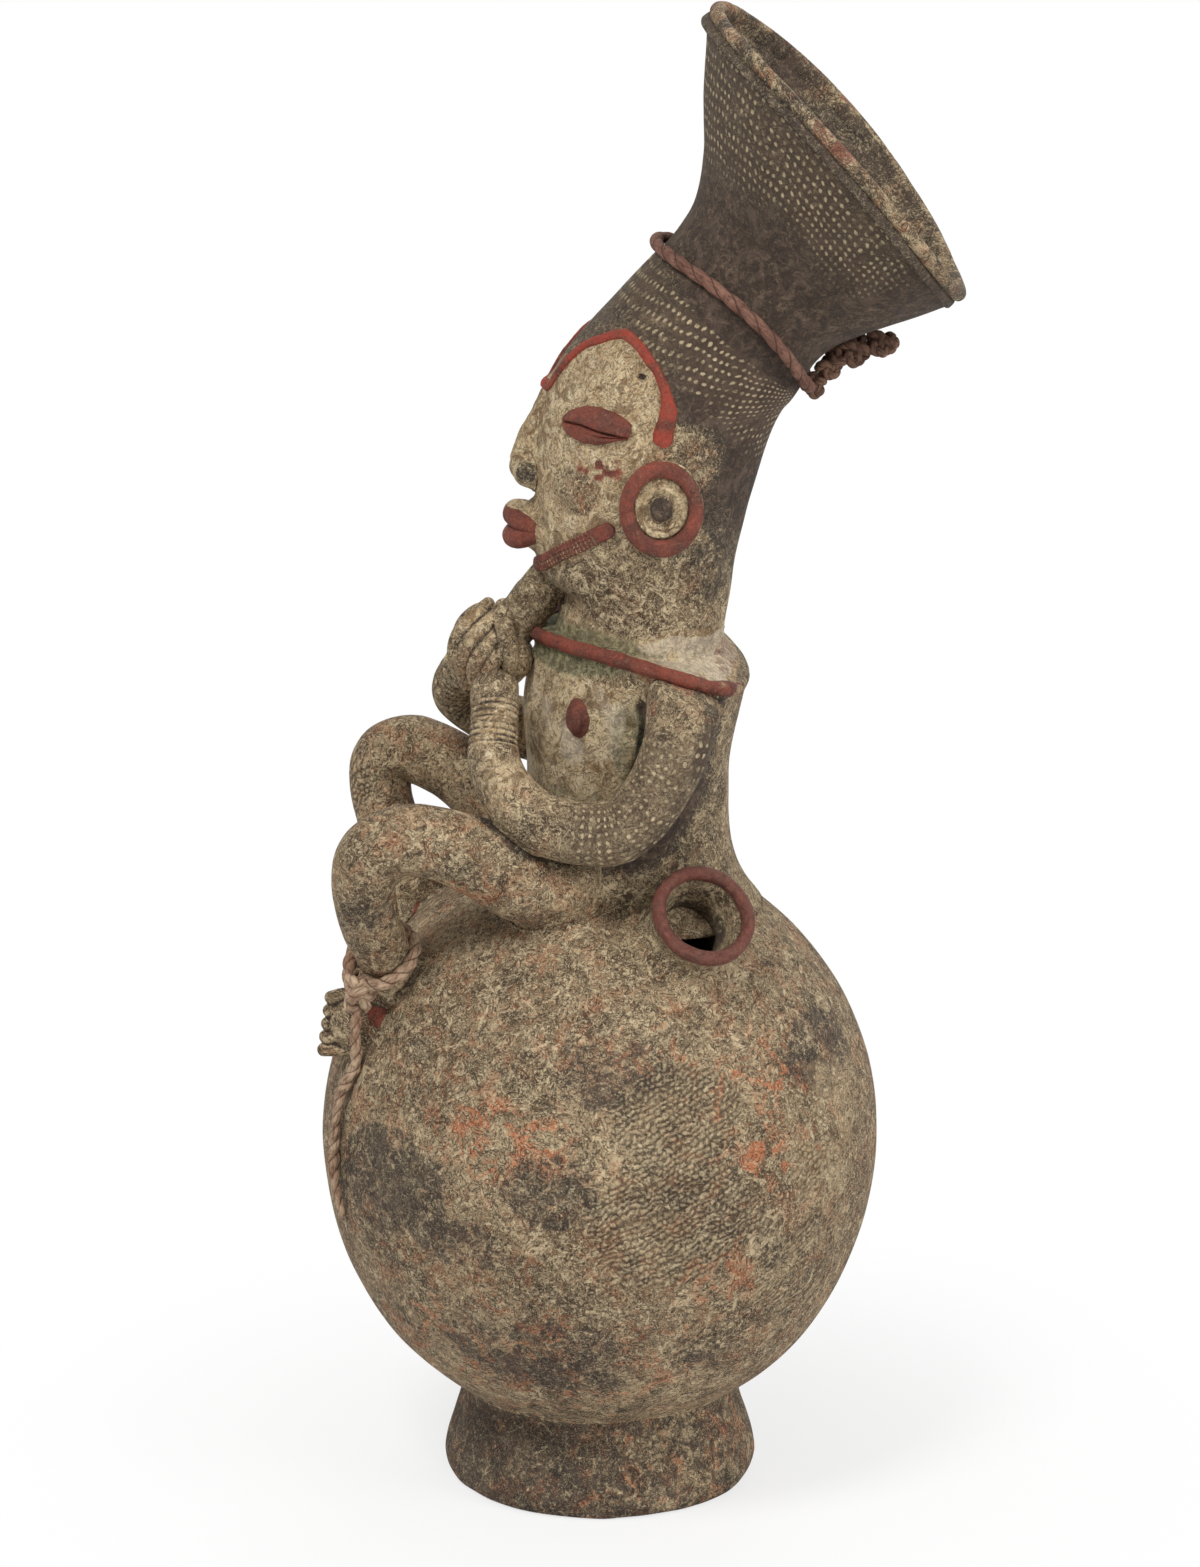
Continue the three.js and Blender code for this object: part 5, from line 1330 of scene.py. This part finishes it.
def eye_height(share, part):
    slit = np.interp(share, EYE_ALONG, EYE_SLIT)
    full = min(share / 0.12, 1.0) ** 0.5 * (0.55 + 0.45 * min((1.0 - share) / 0.12, 1.0))
    half = np.interp(share, EYE_ALONG, EYE_HALF)
    from_slit = (part - slit) * half
    if part > slit:
        rise = UPPER_LID * dome((part - slit) / (1.0 - slit), 2.0) + 0.5 * math.exp(-(from_slit / 0.7) ** 2)
    else:
        way = (slit - part) / (1.0 + slit)
        fold = 1.3 * math.exp(-((way - 0.42) / 0.09) ** 2) * smoothstep(0.35, 0.7, share)
        rise = LOWER_LID * dome(way, 2.2) - fold
    groove = 2.1 * math.exp(-(from_slit / 0.55) ** 2)
    return max(rise * full - groove * full, 0.1)


SCAR_COURSE = [[-38.5, 9, 385.6], [-35, 20, 389.6], [-30, 26.6, 394.3], [-20, 35.2, 401.6], [-14, 37.9, 405.4],
               [-8.2, 40.2, 408.6]]
SCAR_NOTCHES, SCAR_HALF, SCAR_PLACES, SCAR_ACROSS = 27, 3.3, 330, 26


def scar_height(share, part):
    notched = smoothstep(0.1, 0.16, share) * (1 - smoothstep(0.8, 0.86, share))
    rows = math.exp(-((abs(part) - 0.5) / 0.3) ** 2)
    notch = 0.5 + 0.5 * math.cos(2 * math.pi * share * SCAR_NOTCHES + (0.9 if part > 0 else 0.0))
    middle = math.exp(-(part / 0.13) ** 2)
    return 2.4 * dome(part, 3.0) - notched * (1.25 * rows * notch + 0.8 * middle)


RING_WIDE, RING_TALL = 16.6, 19.6
PLUG_WIDE, PLUG_TALL = 16.4, 18.8
RING_ARC = np.radians(np.linspace(-60, 240, 26))
RING_PROFILE = [[0.815 + 0.185 * math.cos(a), 2.4 + 1.9 * math.sin(a)] for a in RING_ARC]
PLUG_PROFILE = [[0.02, 5.0], [0.12, 5.2], [0.2, 4.8], [0.255, 3.6], [0.29, 2.2], [0.33, 1.5], [0.38, 1.9], [0.42, 2.3],
                [0.46, 1.9], [0.5, 1.3], [0.55, 1.6], [0.6, 1.7], [0.645, 1.2], [0.66, -7], [0.02, -7]]
NIPPLE_PROFILE = [[1.35, -2.0], [1.32, 0.05], [1.12, 0.5], [0.98, 1.4], [0.86, 2.7], [0.66, 3.7], [0.36, 4.3],
                  [0.12, 4.5], [0.02, 4.5]]
RIDGE_END = {"left": 153, "right": 134}

for name, side in SIDES.items():
    share = np.linspace(0, 1, 110)
    eye_half = np.interp(share, EYE_ALONG, EYE_HALF)
    eye = relief(laid_line(EYE_COURSE, 110, side), eye_half, eye_height, 44)
    paint_all(eye, 0.95, smoke_and_shade=0.34, wear=0.3)
    build("eye_of_" + name, eye, CLAY, ["eye_" + name])

    # notched scar along the jaw, rounded at its ends, with paint rubbed off between the notches
    share = np.linspace(0, 1, SCAR_PLACES)
    outer_end = SCAR_HALF * np.clip(np.sqrt(np.clip(1 - ((share - 0.93) / 0.07) ** 2, 0, 1)), 0.02, 1)
    inner_end = np.where(share < 0.03, SCAR_HALF * (0.5 + 0.5 * share / 0.03), SCAR_HALF)
    scar_half = np.where(share > 0.93, outer_end, inner_end)
    scar = relief(laid_line(SCAR_COURSE, SCAR_PLACES, side), scar_half, scar_height, SCAR_ACROSS)
    paint_all(scar, 1.0, smoke_and_shade=0.25, wear=0.4)
    along_scar = np.repeat(share, 2 * SCAR_ACROSS - 2)
    notches = 0.5 + 0.5 * np.cos(2 * math.pi * along_scar * SCAR_NOTCHES + 0.45)
    scar.paint[:len(notches), RED] -= 0.72 * notches * (along_scar > 0.12) * (along_scar < 0.84)
    build("jaw_scar_of_" + name, scar, CLAY, ["jaw_scar_" + name])

    # ear spool: a painted ring round a grooved disc with a knob, a little taller than wide
    spot, _ = nearest_on(skin, [10.0, side * 41.0, 416.9])
    out = unit(np.array([0.02, side, 0.03]))
    ear_ring = button(spot, out, RING_WIDE, RING_TALL, RING_PROFILE + [[0.64, -7], [0.99, -7]], 160, True)
    settle(ear_ring, 0.28, 9, 31)
    paint_all(ear_ring, 1.0, smoke_and_shade=0.32, wear=0.24)
    q = ear_ring.points
    top, foot_of_ring = blob(q, (23, side * 44, 427), (8, 20, 13)), blob(q, (10, side * 44, 399), (10, 20, 5))
    ear_ring.paint[:, RED] -= 0.5 * top + 0.4 * foot_of_ring
    ear_ring.paint[:, SMOKE_AND_SHADE] += 0.4 * top + 0.3 * foot_of_ring
    share_out = np.linalg.norm((q[:, [0, 2]] - spot[[0, 2]]) / [RING_WIDE, RING_TALL], axis=1)
    edge = smoothstep(0.96, 1.0, share_out)
    ear_ring.paint[:, RED] *= 1 - 0.75 * edge
    ear_ring.paint[:, PALE] += 0.6 * edge
    build("ear_ring_of_" + name, ear_ring, CLAY, ["ear_ring_" + name])
    ear_plug = button(spot, out, PLUG_WIDE, PLUG_TALL, smooth_profile(PLUG_PROFILE))
    settle(ear_plug, 0.16, 3.5, 33)
    paint_all(ear_plug, 0.0, 0.6, 0.24)
    centre_out = np.linalg.norm((ear_plug.points[:, [0, 2]] - spot[[0, 2]]) / [PLUG_WIDE, PLUG_TALL], axis=1)
    ear_plug.paint[:, PALE] *= smoothstep(0.27, 0.36, centre_out)
    ear_plug.paint[:, SMOKE_AND_SHADE] += 0.62 * (1 - smoothstep(0.24, 0.3, centre_out))
    build("ear_plug_of_" + name, ear_plug, CLAY, ["ear_plug_" + name])

    spot, out = nearest_on(skin, [-22.0, side * 36.0, 330.0])
    nipple = settle(button(spot, out, 4.3, 6.0, smooth_profile(NIPPLE_PROFILE), 64), 0.3, 4.0, 35)
    paint_all(nipple, 1.0, smoke_and_shade=0.42, wear=0.4)
    build("nipple_of_" + name, nipple, CLAY, ["nipple_" + name])

    # painted coil along the edge of the shoulder shelf, thin at its ends
    coil = ring_of(ridge_line[None], -side * np.radians(np.linspace(12, RIDGE_END[name], 70)))[0]
    coil_line = evenly(spline(coil), 260)
    from_end = np.minimum(np.arange(260), 259 - np.arange(260))
    sizes = 2.8 * (1 + 0.14 * noise(coil_line, 7.0, 36)) * np.minimum(1, 0.55 + from_end / 14)
    ridge = settle(tube(coil_line, sizes, 40, None, 0.8), 0.3, 5.0, 37)
    weld(ridge, [trunk_core], 1.6)
    paint_all(ridge, 0.96, 0.1, 0.3)
    q = ridge.points
    ridge.paint[:, RED] -= 0.34 * smoothstep(20, 34, q[:, 0]) + 0.25 * smoothstep(0.2, 0.6, noise(q, 8.0, 38))
    ridge.paint[:, PALE] += 0.4 * smoothstep(16, 30, q[:, 0])
    build("shoulder_ridge_of_" + name, ridge, CLAY, ["shoulder_ridge_" + name])

# Hairline: one red strip from temple to temple over the brow
brow = laid_line([[x, -y, z] for x, y, z in HAIRLINE] + [[-34.6, 0, 455.8]] + HAIRLINE[::-1], 420)
low_end = np.minimum(lengths(brow), lengths(brow)[-1] - lengths(brow))
strip_half = 2.1 + 1.7 * (1 - smoothstep(10, 24, low_end)) * smoothstep(0, 3, low_end)
strip_half = (strip_half - 1.9 * (1 - smoothstep(0, 1.6, low_end))) * (1 + 0.12 * noise(brow, 6.0, 51))
hairline = relief(brow, strip_half, lambda share, part: 1.5 * dome(part, 2.2), 18, upward=False)
settle(hairline, 0.22, 5.0, 52)
paint_all(hairline, 1.0, smoke_and_shade=0.22, wear=0.05)
build("hairline", hairline, CLAY, ["hairline_band"])

# Nose and lips carry on the face's own slip, so that no seam shows
weld(nose, [trunk_core], 6)
settle(nose, 0.25, 7.0, 55)
q = nose.points
under = np.minimum(q[:, 2] - (414.6 - 0.42 * (q[:, 0] + 44)), 0)
nose.points[:, 2] -= 0.75 * under * (q[:, 0] < -33)
paint_all(nose)
nose.paint[:, PALE], nose.paint[:, GREEN] = face_slip(q), face_green(q)
for side in SIDES.values():
    wing = blob(q, TIP + [7.6, side * 10.4, 0.2], (7.0, 6, 6.2))
    nose.paint[:, PALE] *= 1 - 0.85 * wing
    # painted shade under each nose wing; the wings themselves are painted darker
    nose.paint[:, SMOKE_AND_SHADE] += 0.5 * wing + 0.7 * blob(q, TIP + [8.5, side * 6.0, -6.5], (4.6, 5.0, 3.0))
nose.marks[:, RUST] = 0.6 * blob(q, TIP + [3.5, -6, -3], (5, 6, 4))
build("nose_and_wings", nose, CLAY, ["nose"])

for name, bend in LIP_BENDS.items():
    lip = lips[name]
    weld(lip, [trunk_core], 5)
    settle(lip, 0.18, 5.0, 57)
    past_parting = lip.points[:, 2] * bend < LIP_PARTING * bend
    lip.points[past_parting, 2] += 0.6 * (LIP_PARTING - lip.points[past_parting, 2])
    q = lip.points
    above = (q[:, 2] - LIP_PARTING) * bend
    red_top = np.interp(q[:, 0] + 0.5 * noise(q, 3.0, 58), [-47, -42, -36.5], [8.0, 5.8, 1.0])
    front = 1 - smoothstep(red_top - 0.6, red_top + 0.6, above)
    paint_all(lip, wear=0.3)
    lip.paint[:, RED] = front
    lip.paint[:, PALE] = face_slip(q) * (1 - front)
    lip.paint[:, GREEN] = face_green(q) * (1 - front)
    # painted shade along the parting between the lips
    lip.paint[:, SMOKE_AND_SHADE] = 0.24 + 0.3 * (1 - smoothstep(0.0, 1.2, above))
    build(name + "_lip_roll", lip, CLAY, [name + "_lip"])


# ---------------------------------------------------------------- limbs, hands and beard
def ridge_height(x):
    """Height of the painted ridge over the shoulder at a place from front to back."""
    middle = ring_of(ridge_line[None], np.radians(np.linspace(14, 166, 80)))[0]
    return np.interp(x, middle[:, 0], middle[:, 2])


for name, side in SIDES.items():
    arm, leg, foot, hand = arms[name], legs[name], feet[name], hands[name]
    right = float(side > 0)

    # the shoulder stays under the painted ridge, rounded off outwards and backwards
    weld(arm, [trunk_core], 2.5)
    x, y, z = arm.points.T
    outwards, backwards = np.maximum(y * side - CHEST_HALF_WIDTH, 0), np.maximum(x - 22, 0)
    shoulder_top = ridge_height(x) - 2.2 - 0.02 * outwards**2 - 0.03 * backwards**2
    arm.points[:, 2] = z - np.maximum(z - shoulder_top, 0) * (x > -30) * (z > 325)
    weld(arm, [leg_cores[name]], 2)
    settle(arm, 0.35, 16, 11)
    q = arm.points
    x, y, z = q.T
    normals = arm.normals()
    # painted shade on the arm's side that faces backwards, below the shoulder
    shade_on_back = smoothstep(0.2, 0.75, normals[:, 0]) * smoothstep(-28, -14, x)
    shade_on_back *= smoothstep(346, 324, z + 9 * noise(q, 9.0, 91))
    # painted shade in the grooves of the wrist rings and where the arm meets the trunk; the ring crowns are painted
    # paler
    arm.paint[:, SMOKE_AND_SHADE] = general_smoke_and_shade(q, 0.4) + 0.22 * arm.bands[0] + 0.4 * touching(q, [trunk_core], 2.2)
    arm.paint[:, SMOKE_AND_SHADE] += 0.36 * shade_on_back * (1 + 0.6 * noise(q, 8.0, 92))
    arm.paint[:, PALE] = 0.16 + 0.2 * noise(q, 14.0, 61) + 0.34 * arm.bands[1]
    arm.paint[:, PALE] += 0.3 * blob(q, (-50, side * 52, 318), (16, 20, 26))
    smear = blob(q, (22, side * 62, 346), (36, 34, 15)) * smoothstep(-0.7, 0.5, noise(q, 5.0, 64))
    arm.paint[:, RED] = 0.42 * smear
    arm.pitch = 1.28
    outer_side = smoothstep(0.0, 0.5, normals[:, 1] * side)
    arm.marks[:, DOTS] = outer_side * smoothstep(-32, -20, x) * (1 - smoothstep(324, 342, z))
    arm.marks[:, COMBING] = 0.4 * smoothstep(-38, -50, x) * (1 - smoothstep(318, 326, z))
    build("arm_of_" + name, arm, CLAY, ["arm_" + name])

    weld(leg, [trunk_core, belly_core], 8)
    settle(leg, 0.45, 20, 12)
    q = leg.points
    leg.paint[:, SMOKE_AND_SHADE] = general_smoke_and_shade(q, 0.22) + blobs(
        q, (0.24, (-104, side * 66, 258), (18, 26, 18)), (0.35, (-36, side * 66, 252), (22, 24, 16)))
    # painted shade in the grooves of the ankle rings and where the arm lies against the leg; the ring crowns are
    # painted paler
    leg.paint[:, SMOKE_AND_SHADE] += 0.4 * leg.bands[0] + 0.6 * touching(q, [arm_cores[name]], 8.0)
    leg.paint[:, PALE] = 0.28 + 0.16 * noise(q, 16.0, 62) + 0.6 * leg.bands[1]
    leg.paint[:, PALE] += 0.3 * right * blob(q, (-112, side * 64, 262), (9, 14, 12))
    leg.marks[:, RUST] = 0.3 + blobs(
        q, (0.6 * right, (-108, side * 70, 272), (16, 20, 20)), (0.35, (-70, side * 66, 268), (20, 18, 14)))
    leg.marks[:, COMBING] = 0.8 * right * blob(q, (-112, side * 64, 272), (16, 20, 24))
    build("leg_of_" + name, leg, CLAY, ["leg_" + name])

    weld(foot, [belly_core, leg_cores[name]], 3)
    q = foot.points
    # painted shade in the foot's creases, between the toes and at its joins
    foot.paint[:, SMOKE_AND_SHADE] = general_smoke_and_shade(q, 0.36) + 0.6 * creases(foot, 0.004, 0.03)
    foot.paint[:, RED] = 0.7 * smoothstep(-112, -104, q[:, 0]) * smoothstep(0.0, 0.5, noise(q, 8.0, 63))
    build("foot_of_" + name, foot, CLAY, ["foot_" + name])

    weld(hand, [arm_cores[name], beard_core], 2.5)
    q = hand.points
    # painted shade in the hand's folds: darker there, and without slip
    folds = creases(hand, 0.004, 0.03)
    hand.paint[:, SMOKE_AND_SHADE] = general_smoke_and_shade(q, 0.2) + 0.5 * folds
    hand.paint[:, PALE] = (0.34 + 0.3 * blob(q, (-62, side * 22, 364), (9, 12, 9))) * (1 - folds)
    hand.marks[:, RUST] = 0.5 * blob(q, (-64, side * 22, 366), (10, 12, 9))
    build("hand_of_" + name, hand, CLAY, ["hand_" + name])

weld(beard, [trunk_core], 1.5)
settle(beard, 0.3, 8, 13)
beard.paint[:] = [0.0, 0.34, 0.22, 0.0]
beard.marks[:, COMBING] = 0.32
build("chin_beard", beard, CLAY, ["beard"])


# ---------------------------------------------------------------- knots, neck cord and ankle ropes
def knotted(place, direction, size, strand, turn=0.0):
    """Overhand knot: one strand wound through itself, its hole along the direction."""
    t = np.linspace(0, 2 * math.pi, 90)
    curve = [np.sin(t) + 2 * np.sin(2 * t), np.cos(t) - 2 * np.cos(2 * t), -1.5 * np.sin(3 * t)]
    curve = np.stack(curve, 1) / 3.0 * size
    w = unit(np.asarray(direction, float))
    u = unit(np.cross([0.31, 0.2, 0.93], w))
    v = np.cross(w, u)
    u, v = u * math.cos(turn) + v * math.sin(turn), v * math.cos(turn) - u * math.sin(turn)
    return twisted(curve @ np.stack([u, v, w]) + np.asarray(place, float), strand, 9.0, sides=16, waver=0.04)


def joined(shapes):
    """Several closed surfaces kept as one piece."""
    whole = Shape(*together(shapes), [corner for shape in shapes for corner in shape.along])
    whole.paint = np.vstack([shape.paint for shape in shapes])
    return whole


NECK_CORD_RADIUS = 2.6
neck_angles = np.radians(np.linspace(-172, 172, 240))
neck_line = ring_of(grown(cord_line, NECK_CORD_RADIUS + 0.6)[None], neck_angles)[0]
neck_cord = twisted(evenly(neck_line, 620), NECK_CORD_RADIUS, 21.0, sides=30, waver=0.07)
build("neck_cord_tied", neck_cord, RED_CORD, ["neck_cord"])
knot = ring_of(grown(cord_line, 4.7)[None], np.array([math.pi]))[0, 0]
strands = [knotted(knot, [0.6, 0.1, 0.7], 3.6, 1.75),
           knotted(knot + [1.6, -1.2, 2.4], [0.2, 0.9, 0.3], 3.0, 1.6)]
build("neck_cord_knotted", joined(strands), DARK_CORD, ["neck_cord_knot"])

# its stiff end, with knots at [place, size, strand, turn]
TAIL_STEPS = [[0, 0], [2.6, 3.6], [5.2, 6.6], [8.6, 8.8], [12.4, 10.3], [16.4, 11.6], [20.6, 12.6], [25, 13.2],
              [29.4, 13.6]]
TAIL_KNOTS = [(14, 3.9, 1.9, 0.0), (34, 4.0, 1.9, 1.0), (56, 5.0, 2.1, 2.0), (68, 4.2, 2.0, 0.4), (92, 4.2, 2.0, 1.4),
              (108, 3.4, 1.7, 2.4)]
tail_start = knot + np.array([0.62, 0, 0.785]) * 6.0
neck_tail = evenly(spline([tail_start + [x, 0, z] for x, z in TAIL_STEPS]), 120)
strands = [twisted(neck_tail, 2.2, 10.0, sides=20, waver=0.06)]
for at, size, strand, turn in TAIL_KNOTS:
    course = neck_tail[at + 3] - neck_tail[at - 3] + [0, 0.2, 0]
    strands.append(knotted(neck_tail[at], course, size, strand, turn))
build("neck_cord_end", joined(strands), DARK_CORD, ["neck_cord_tail"])

for name, side in SIDES.items():
    loop = ankle_loop(name)
    turns = np.radians(np.linspace(-164, 164, 120))
    snug = 1.0 - 0.13 * (0.5 + 0.5 * np.cos(turns))
    places = np.array([loop[0] + (loop_place(loop, a) - loop[0]) * k for a, k in zip(turns, snug)])
    rope = twisted(evenly(places, 260), ROPE_RADIUS, 13.0, sides=26, waver=0.07, deep=0.34)
    build("ankle_rope_of_" + name, rope, TAN_ROPE, ["ankle_rope_" + name])
    knot = knot_place(name)
    lower = np.array([loop_place(loop, a) for a in np.radians(np.linspace(178, 118, 30))]) - [0, 0, 4.6]
    lower += (lower - loop[0]) * 0.06
    strands = [knotted(knot + [1.4, 0, 1.2], [0.2, side * 0.3, 1.0], 5.2, 2.5),
               knotted(knot + [0.6, 0, -4.2], [0.1, 1.0, 0.2], 4.0, 2.2, 0.8), twisted(lower, 2.2, 11.0, sides=20)]
    build("ankle_knot_of_" + name, joined(strands), TAN_ROPE, ["ankle_knot_" + name])

# ---------------------------------------------------------------- coiffure
FLARE_AXIS, FLARE_HEIGHT = leaning(33.1), 78.0
FLARE_BACK = np.array([FLARE_AXIS[2], 0.0, -FLARE_AXIS[0]])


def flare_at(share, drift, depth, width, tilt, bow=0.0, lean=0.0):
    start = np.array([36.2, 0.0, CORD_LINE_Z]) + SEAM_NORMAL * 0.3
    place = start + FLARE_AXIS * FLARE_HEIGHT * share + FLARE_BACK * drift
    return section(place[0], place[2], depth, width, tilt, 0, bow, lean)


rim_seat = lifted(flare_at(1, 0.4, 74.3, 74.8, 49, 7.2, 2.6), -8.5)
flare_controls = np.array([
    lifted(cord_line, -2.5),
    lifted(cord_line, 0.3),
    flare_at(0.12, 1.4, 37.9, 39.6, 46, 8, 3),
    flare_at(0.26, 2.2, 40.1, 42.8, 47.3, 7.8, 3),
    flare_at(0.43, 2.4, 46.9, 50.3, 47.6, 7.2, 3),
    flare_at(0.68, 0.3, 60.8, 62.8, 48.6, 7.2, 2.6),
    flare_at(0.9, -0.9, 72.2, 72.8, 49, 7.2, 2.6),
    grown(rim_seat, -0.6),
])
AROUND_FLARE = 560
# rolled lip, as [outwards, height] over the seat of the rim
LIP_ROLL = [[-0.5, -0.6], [-0.5, 1.0], [-0.8, 2.6], [-1.5, 3.4], [0.0, 4.6], [0.4, 6.6], [-0.5, 8.2], [-2.4, 8.6],
            [-3.9, 7.6], [-4.8, 5.2], [-5.4, 1.0]]

outer = spline(flare_controls, 14, even_parts=True)
lip_rows = np.array([grown(lifted(rim_seat, 0.3 + height), across) for across, height in spline(LIP_ROLL, 5)])
inner = outer[::-1][1:-16:2]
grow = np.concatenate([np.zeros(len(outer) - 1 + len(lip_rows)), np.linspace(-5.6, -7.8, len(inner))])
flare_angles = full_turn(AROUND_FLARE)
rows = ring_of(np.vstack([outer[:-1], lip_rows, inner]), flare_angles, grow)
way = np.concatenate([[0.0], np.cumsum(np.linalg.norm(np.diff(rows, axis=0), axis=2).mean(axis=1))])
u = flare_angles[None, :] * 62.0 * np.ones((len(rows), 1))
coiffure = grid(rows, joined=True, along=(u, way[:, None] * np.ones((1, AROUND_FLARE))))
settle(coiffure, 0.55, 34, 15)

q = coiffure.points
row = np.arange(len(q)) // AROUND_FLARE
from_rim = way[len(outer) - 1] - way[row]
outside = row < len(outer)
within = row >= len(outer) + 40
roll = (np.arange(len(q)) > (len(outer) + 16) * AROUND_FLARE) & ~within
wander = 9.0 * noise(q, 26.0, 71)
turned = np.degrees(np.tile(flare_angles, len(rows)))
turned = np.minimum(turned, 360 - turned) + 1.4 * wander
inner_smoke = 0.5 + 0.26 * smoothstep(100, 78, q[:, 0]) + 0.24 * noise(q, 14.0, 73)
coiffure.paint[:, SMOKE_AND_SHADE] = np.where(within, inner_smoke, 0.82) + 0.14 * noise(q, 60.0, 72)
coiffure.paint[:, SMOKE_AND_SHADE] += 0.1 * smoothstep(96, 50, q[:, 2] - 400)
coiffure.paint[:, PALE] = 0.1 * within
coiffure.paint[roll, SMOKE_AND_SHADE] = (0.54 + 0.16 * noise(q, 14.0, 74))[roll]
coiffure.paint[roll, RED] = (0.2 + 0.3 * noise(q, 11.0, 78))[roll]
coiffure.pitch = 1.35
dotted = smoothstep(1, 4, from_rim) * (1 - smoothstep(34, 50, from_rim + wander))
coiffure.marks[:, DOTS] = 0.95 * outside * dotted * (1 - smoothstep(118, 140, turned))
coiffure.marks[:, RUST] = 0.4 * roll + 0.25 * within
coiffure.marks[:, WEAR] = 0.5 * roll
build("coiffure", coiffure, CLAY, ["coiffure_flare", "coiffure_rim"])

# ---------------------------------------------------------------- light, floor and background
WHITE = (1.0, 1.0, 1.0, 1.0)
bpy.context.scene.world = bpy.data.worlds.new("studio")
sky = Look(bpy.context.scene.world)
soft = sky.tree.nodes["Background"]
soft.inputs["Color"].default_value = (1.0, 0.99, 0.975, 1.0)
soft.inputs["Strength"].default_value = 0.33
rays = sky.node("LightPath")
seen = sky.math("MAXIMUM", rays["Is Camera Ray"], rays["Is Glossy Ray"])
seen = sky.math("MAXIMUM", seen, rays["Is Transmission Ray"])
sky.blend("World Output", seen, soft.outputs[0], sky.node("Background", [("Color", WHITE)])[0])


def lamp(name, place, size, power, aim=(0.0, 0.0, 0.3)):
    data = bpy.data.lights.new(name, "AREA")
    data.shape = "DISK"
    data.size = size
    data.energy = power
    obj = in_scene(name, data)
    obj.location = place
    obj.rotation_euler = (Vector(aim) - Vector(place)).to_track_quat("-Z", "Y").to_euler()


lamp("key", (-0.9, -1.5, 2.6), 0.9, 52.0)
lamp("fill", (1.9, -1.3, 1.4), 1.2, 30.0)
lamp("back", (0.6, 2.0, 1.8), 1.2, 14.0)

FLOOR_RADIUS, FLOOR_SIDES = 12, 60
floor_mesh = bpy.data.meshes.new("floor")
corners = [(FLOOR_RADIUS * math.cos(a), FLOOR_RADIUS * math.sin(a), 0.0) for a in full_turn(FLOOR_SIDES)]
floor_mesh.from_pydata(corners, [], [list(range(FLOOR_SIDES))])
floor = in_scene("floor", floor_mesh)
floor.location.z = -0.0002

# seen as white by the camera, apart from the shadow near the foot
ground = Look(bpy.data.materials.new("pale_floor"))
plain = ground.tree.nodes["Principled BSDF"]
plain.inputs["Base Color"].default_value = (0.86, 0.86, 0.86, 1.0)
plain.inputs["Roughness"].default_value = 1.0
plain.inputs["Specular IOR Level"].default_value = 0.0
glow = ground.node("Emission", [("Color", WHITE)])[0]
away = ground.node("VectorMath", [(0, ground.node("NewGeometry")["Position"])], operation="LENGTH")["Value"]
seen = ground.times(ground.node("LightPath")["Is Camera Ray"], ground.step(away, 0.06, 0.3, start=0.72))
ground.blend("Material Output", seen, plain.outputs[0], glow)
floor_mesh.materials.append(ground.owner)
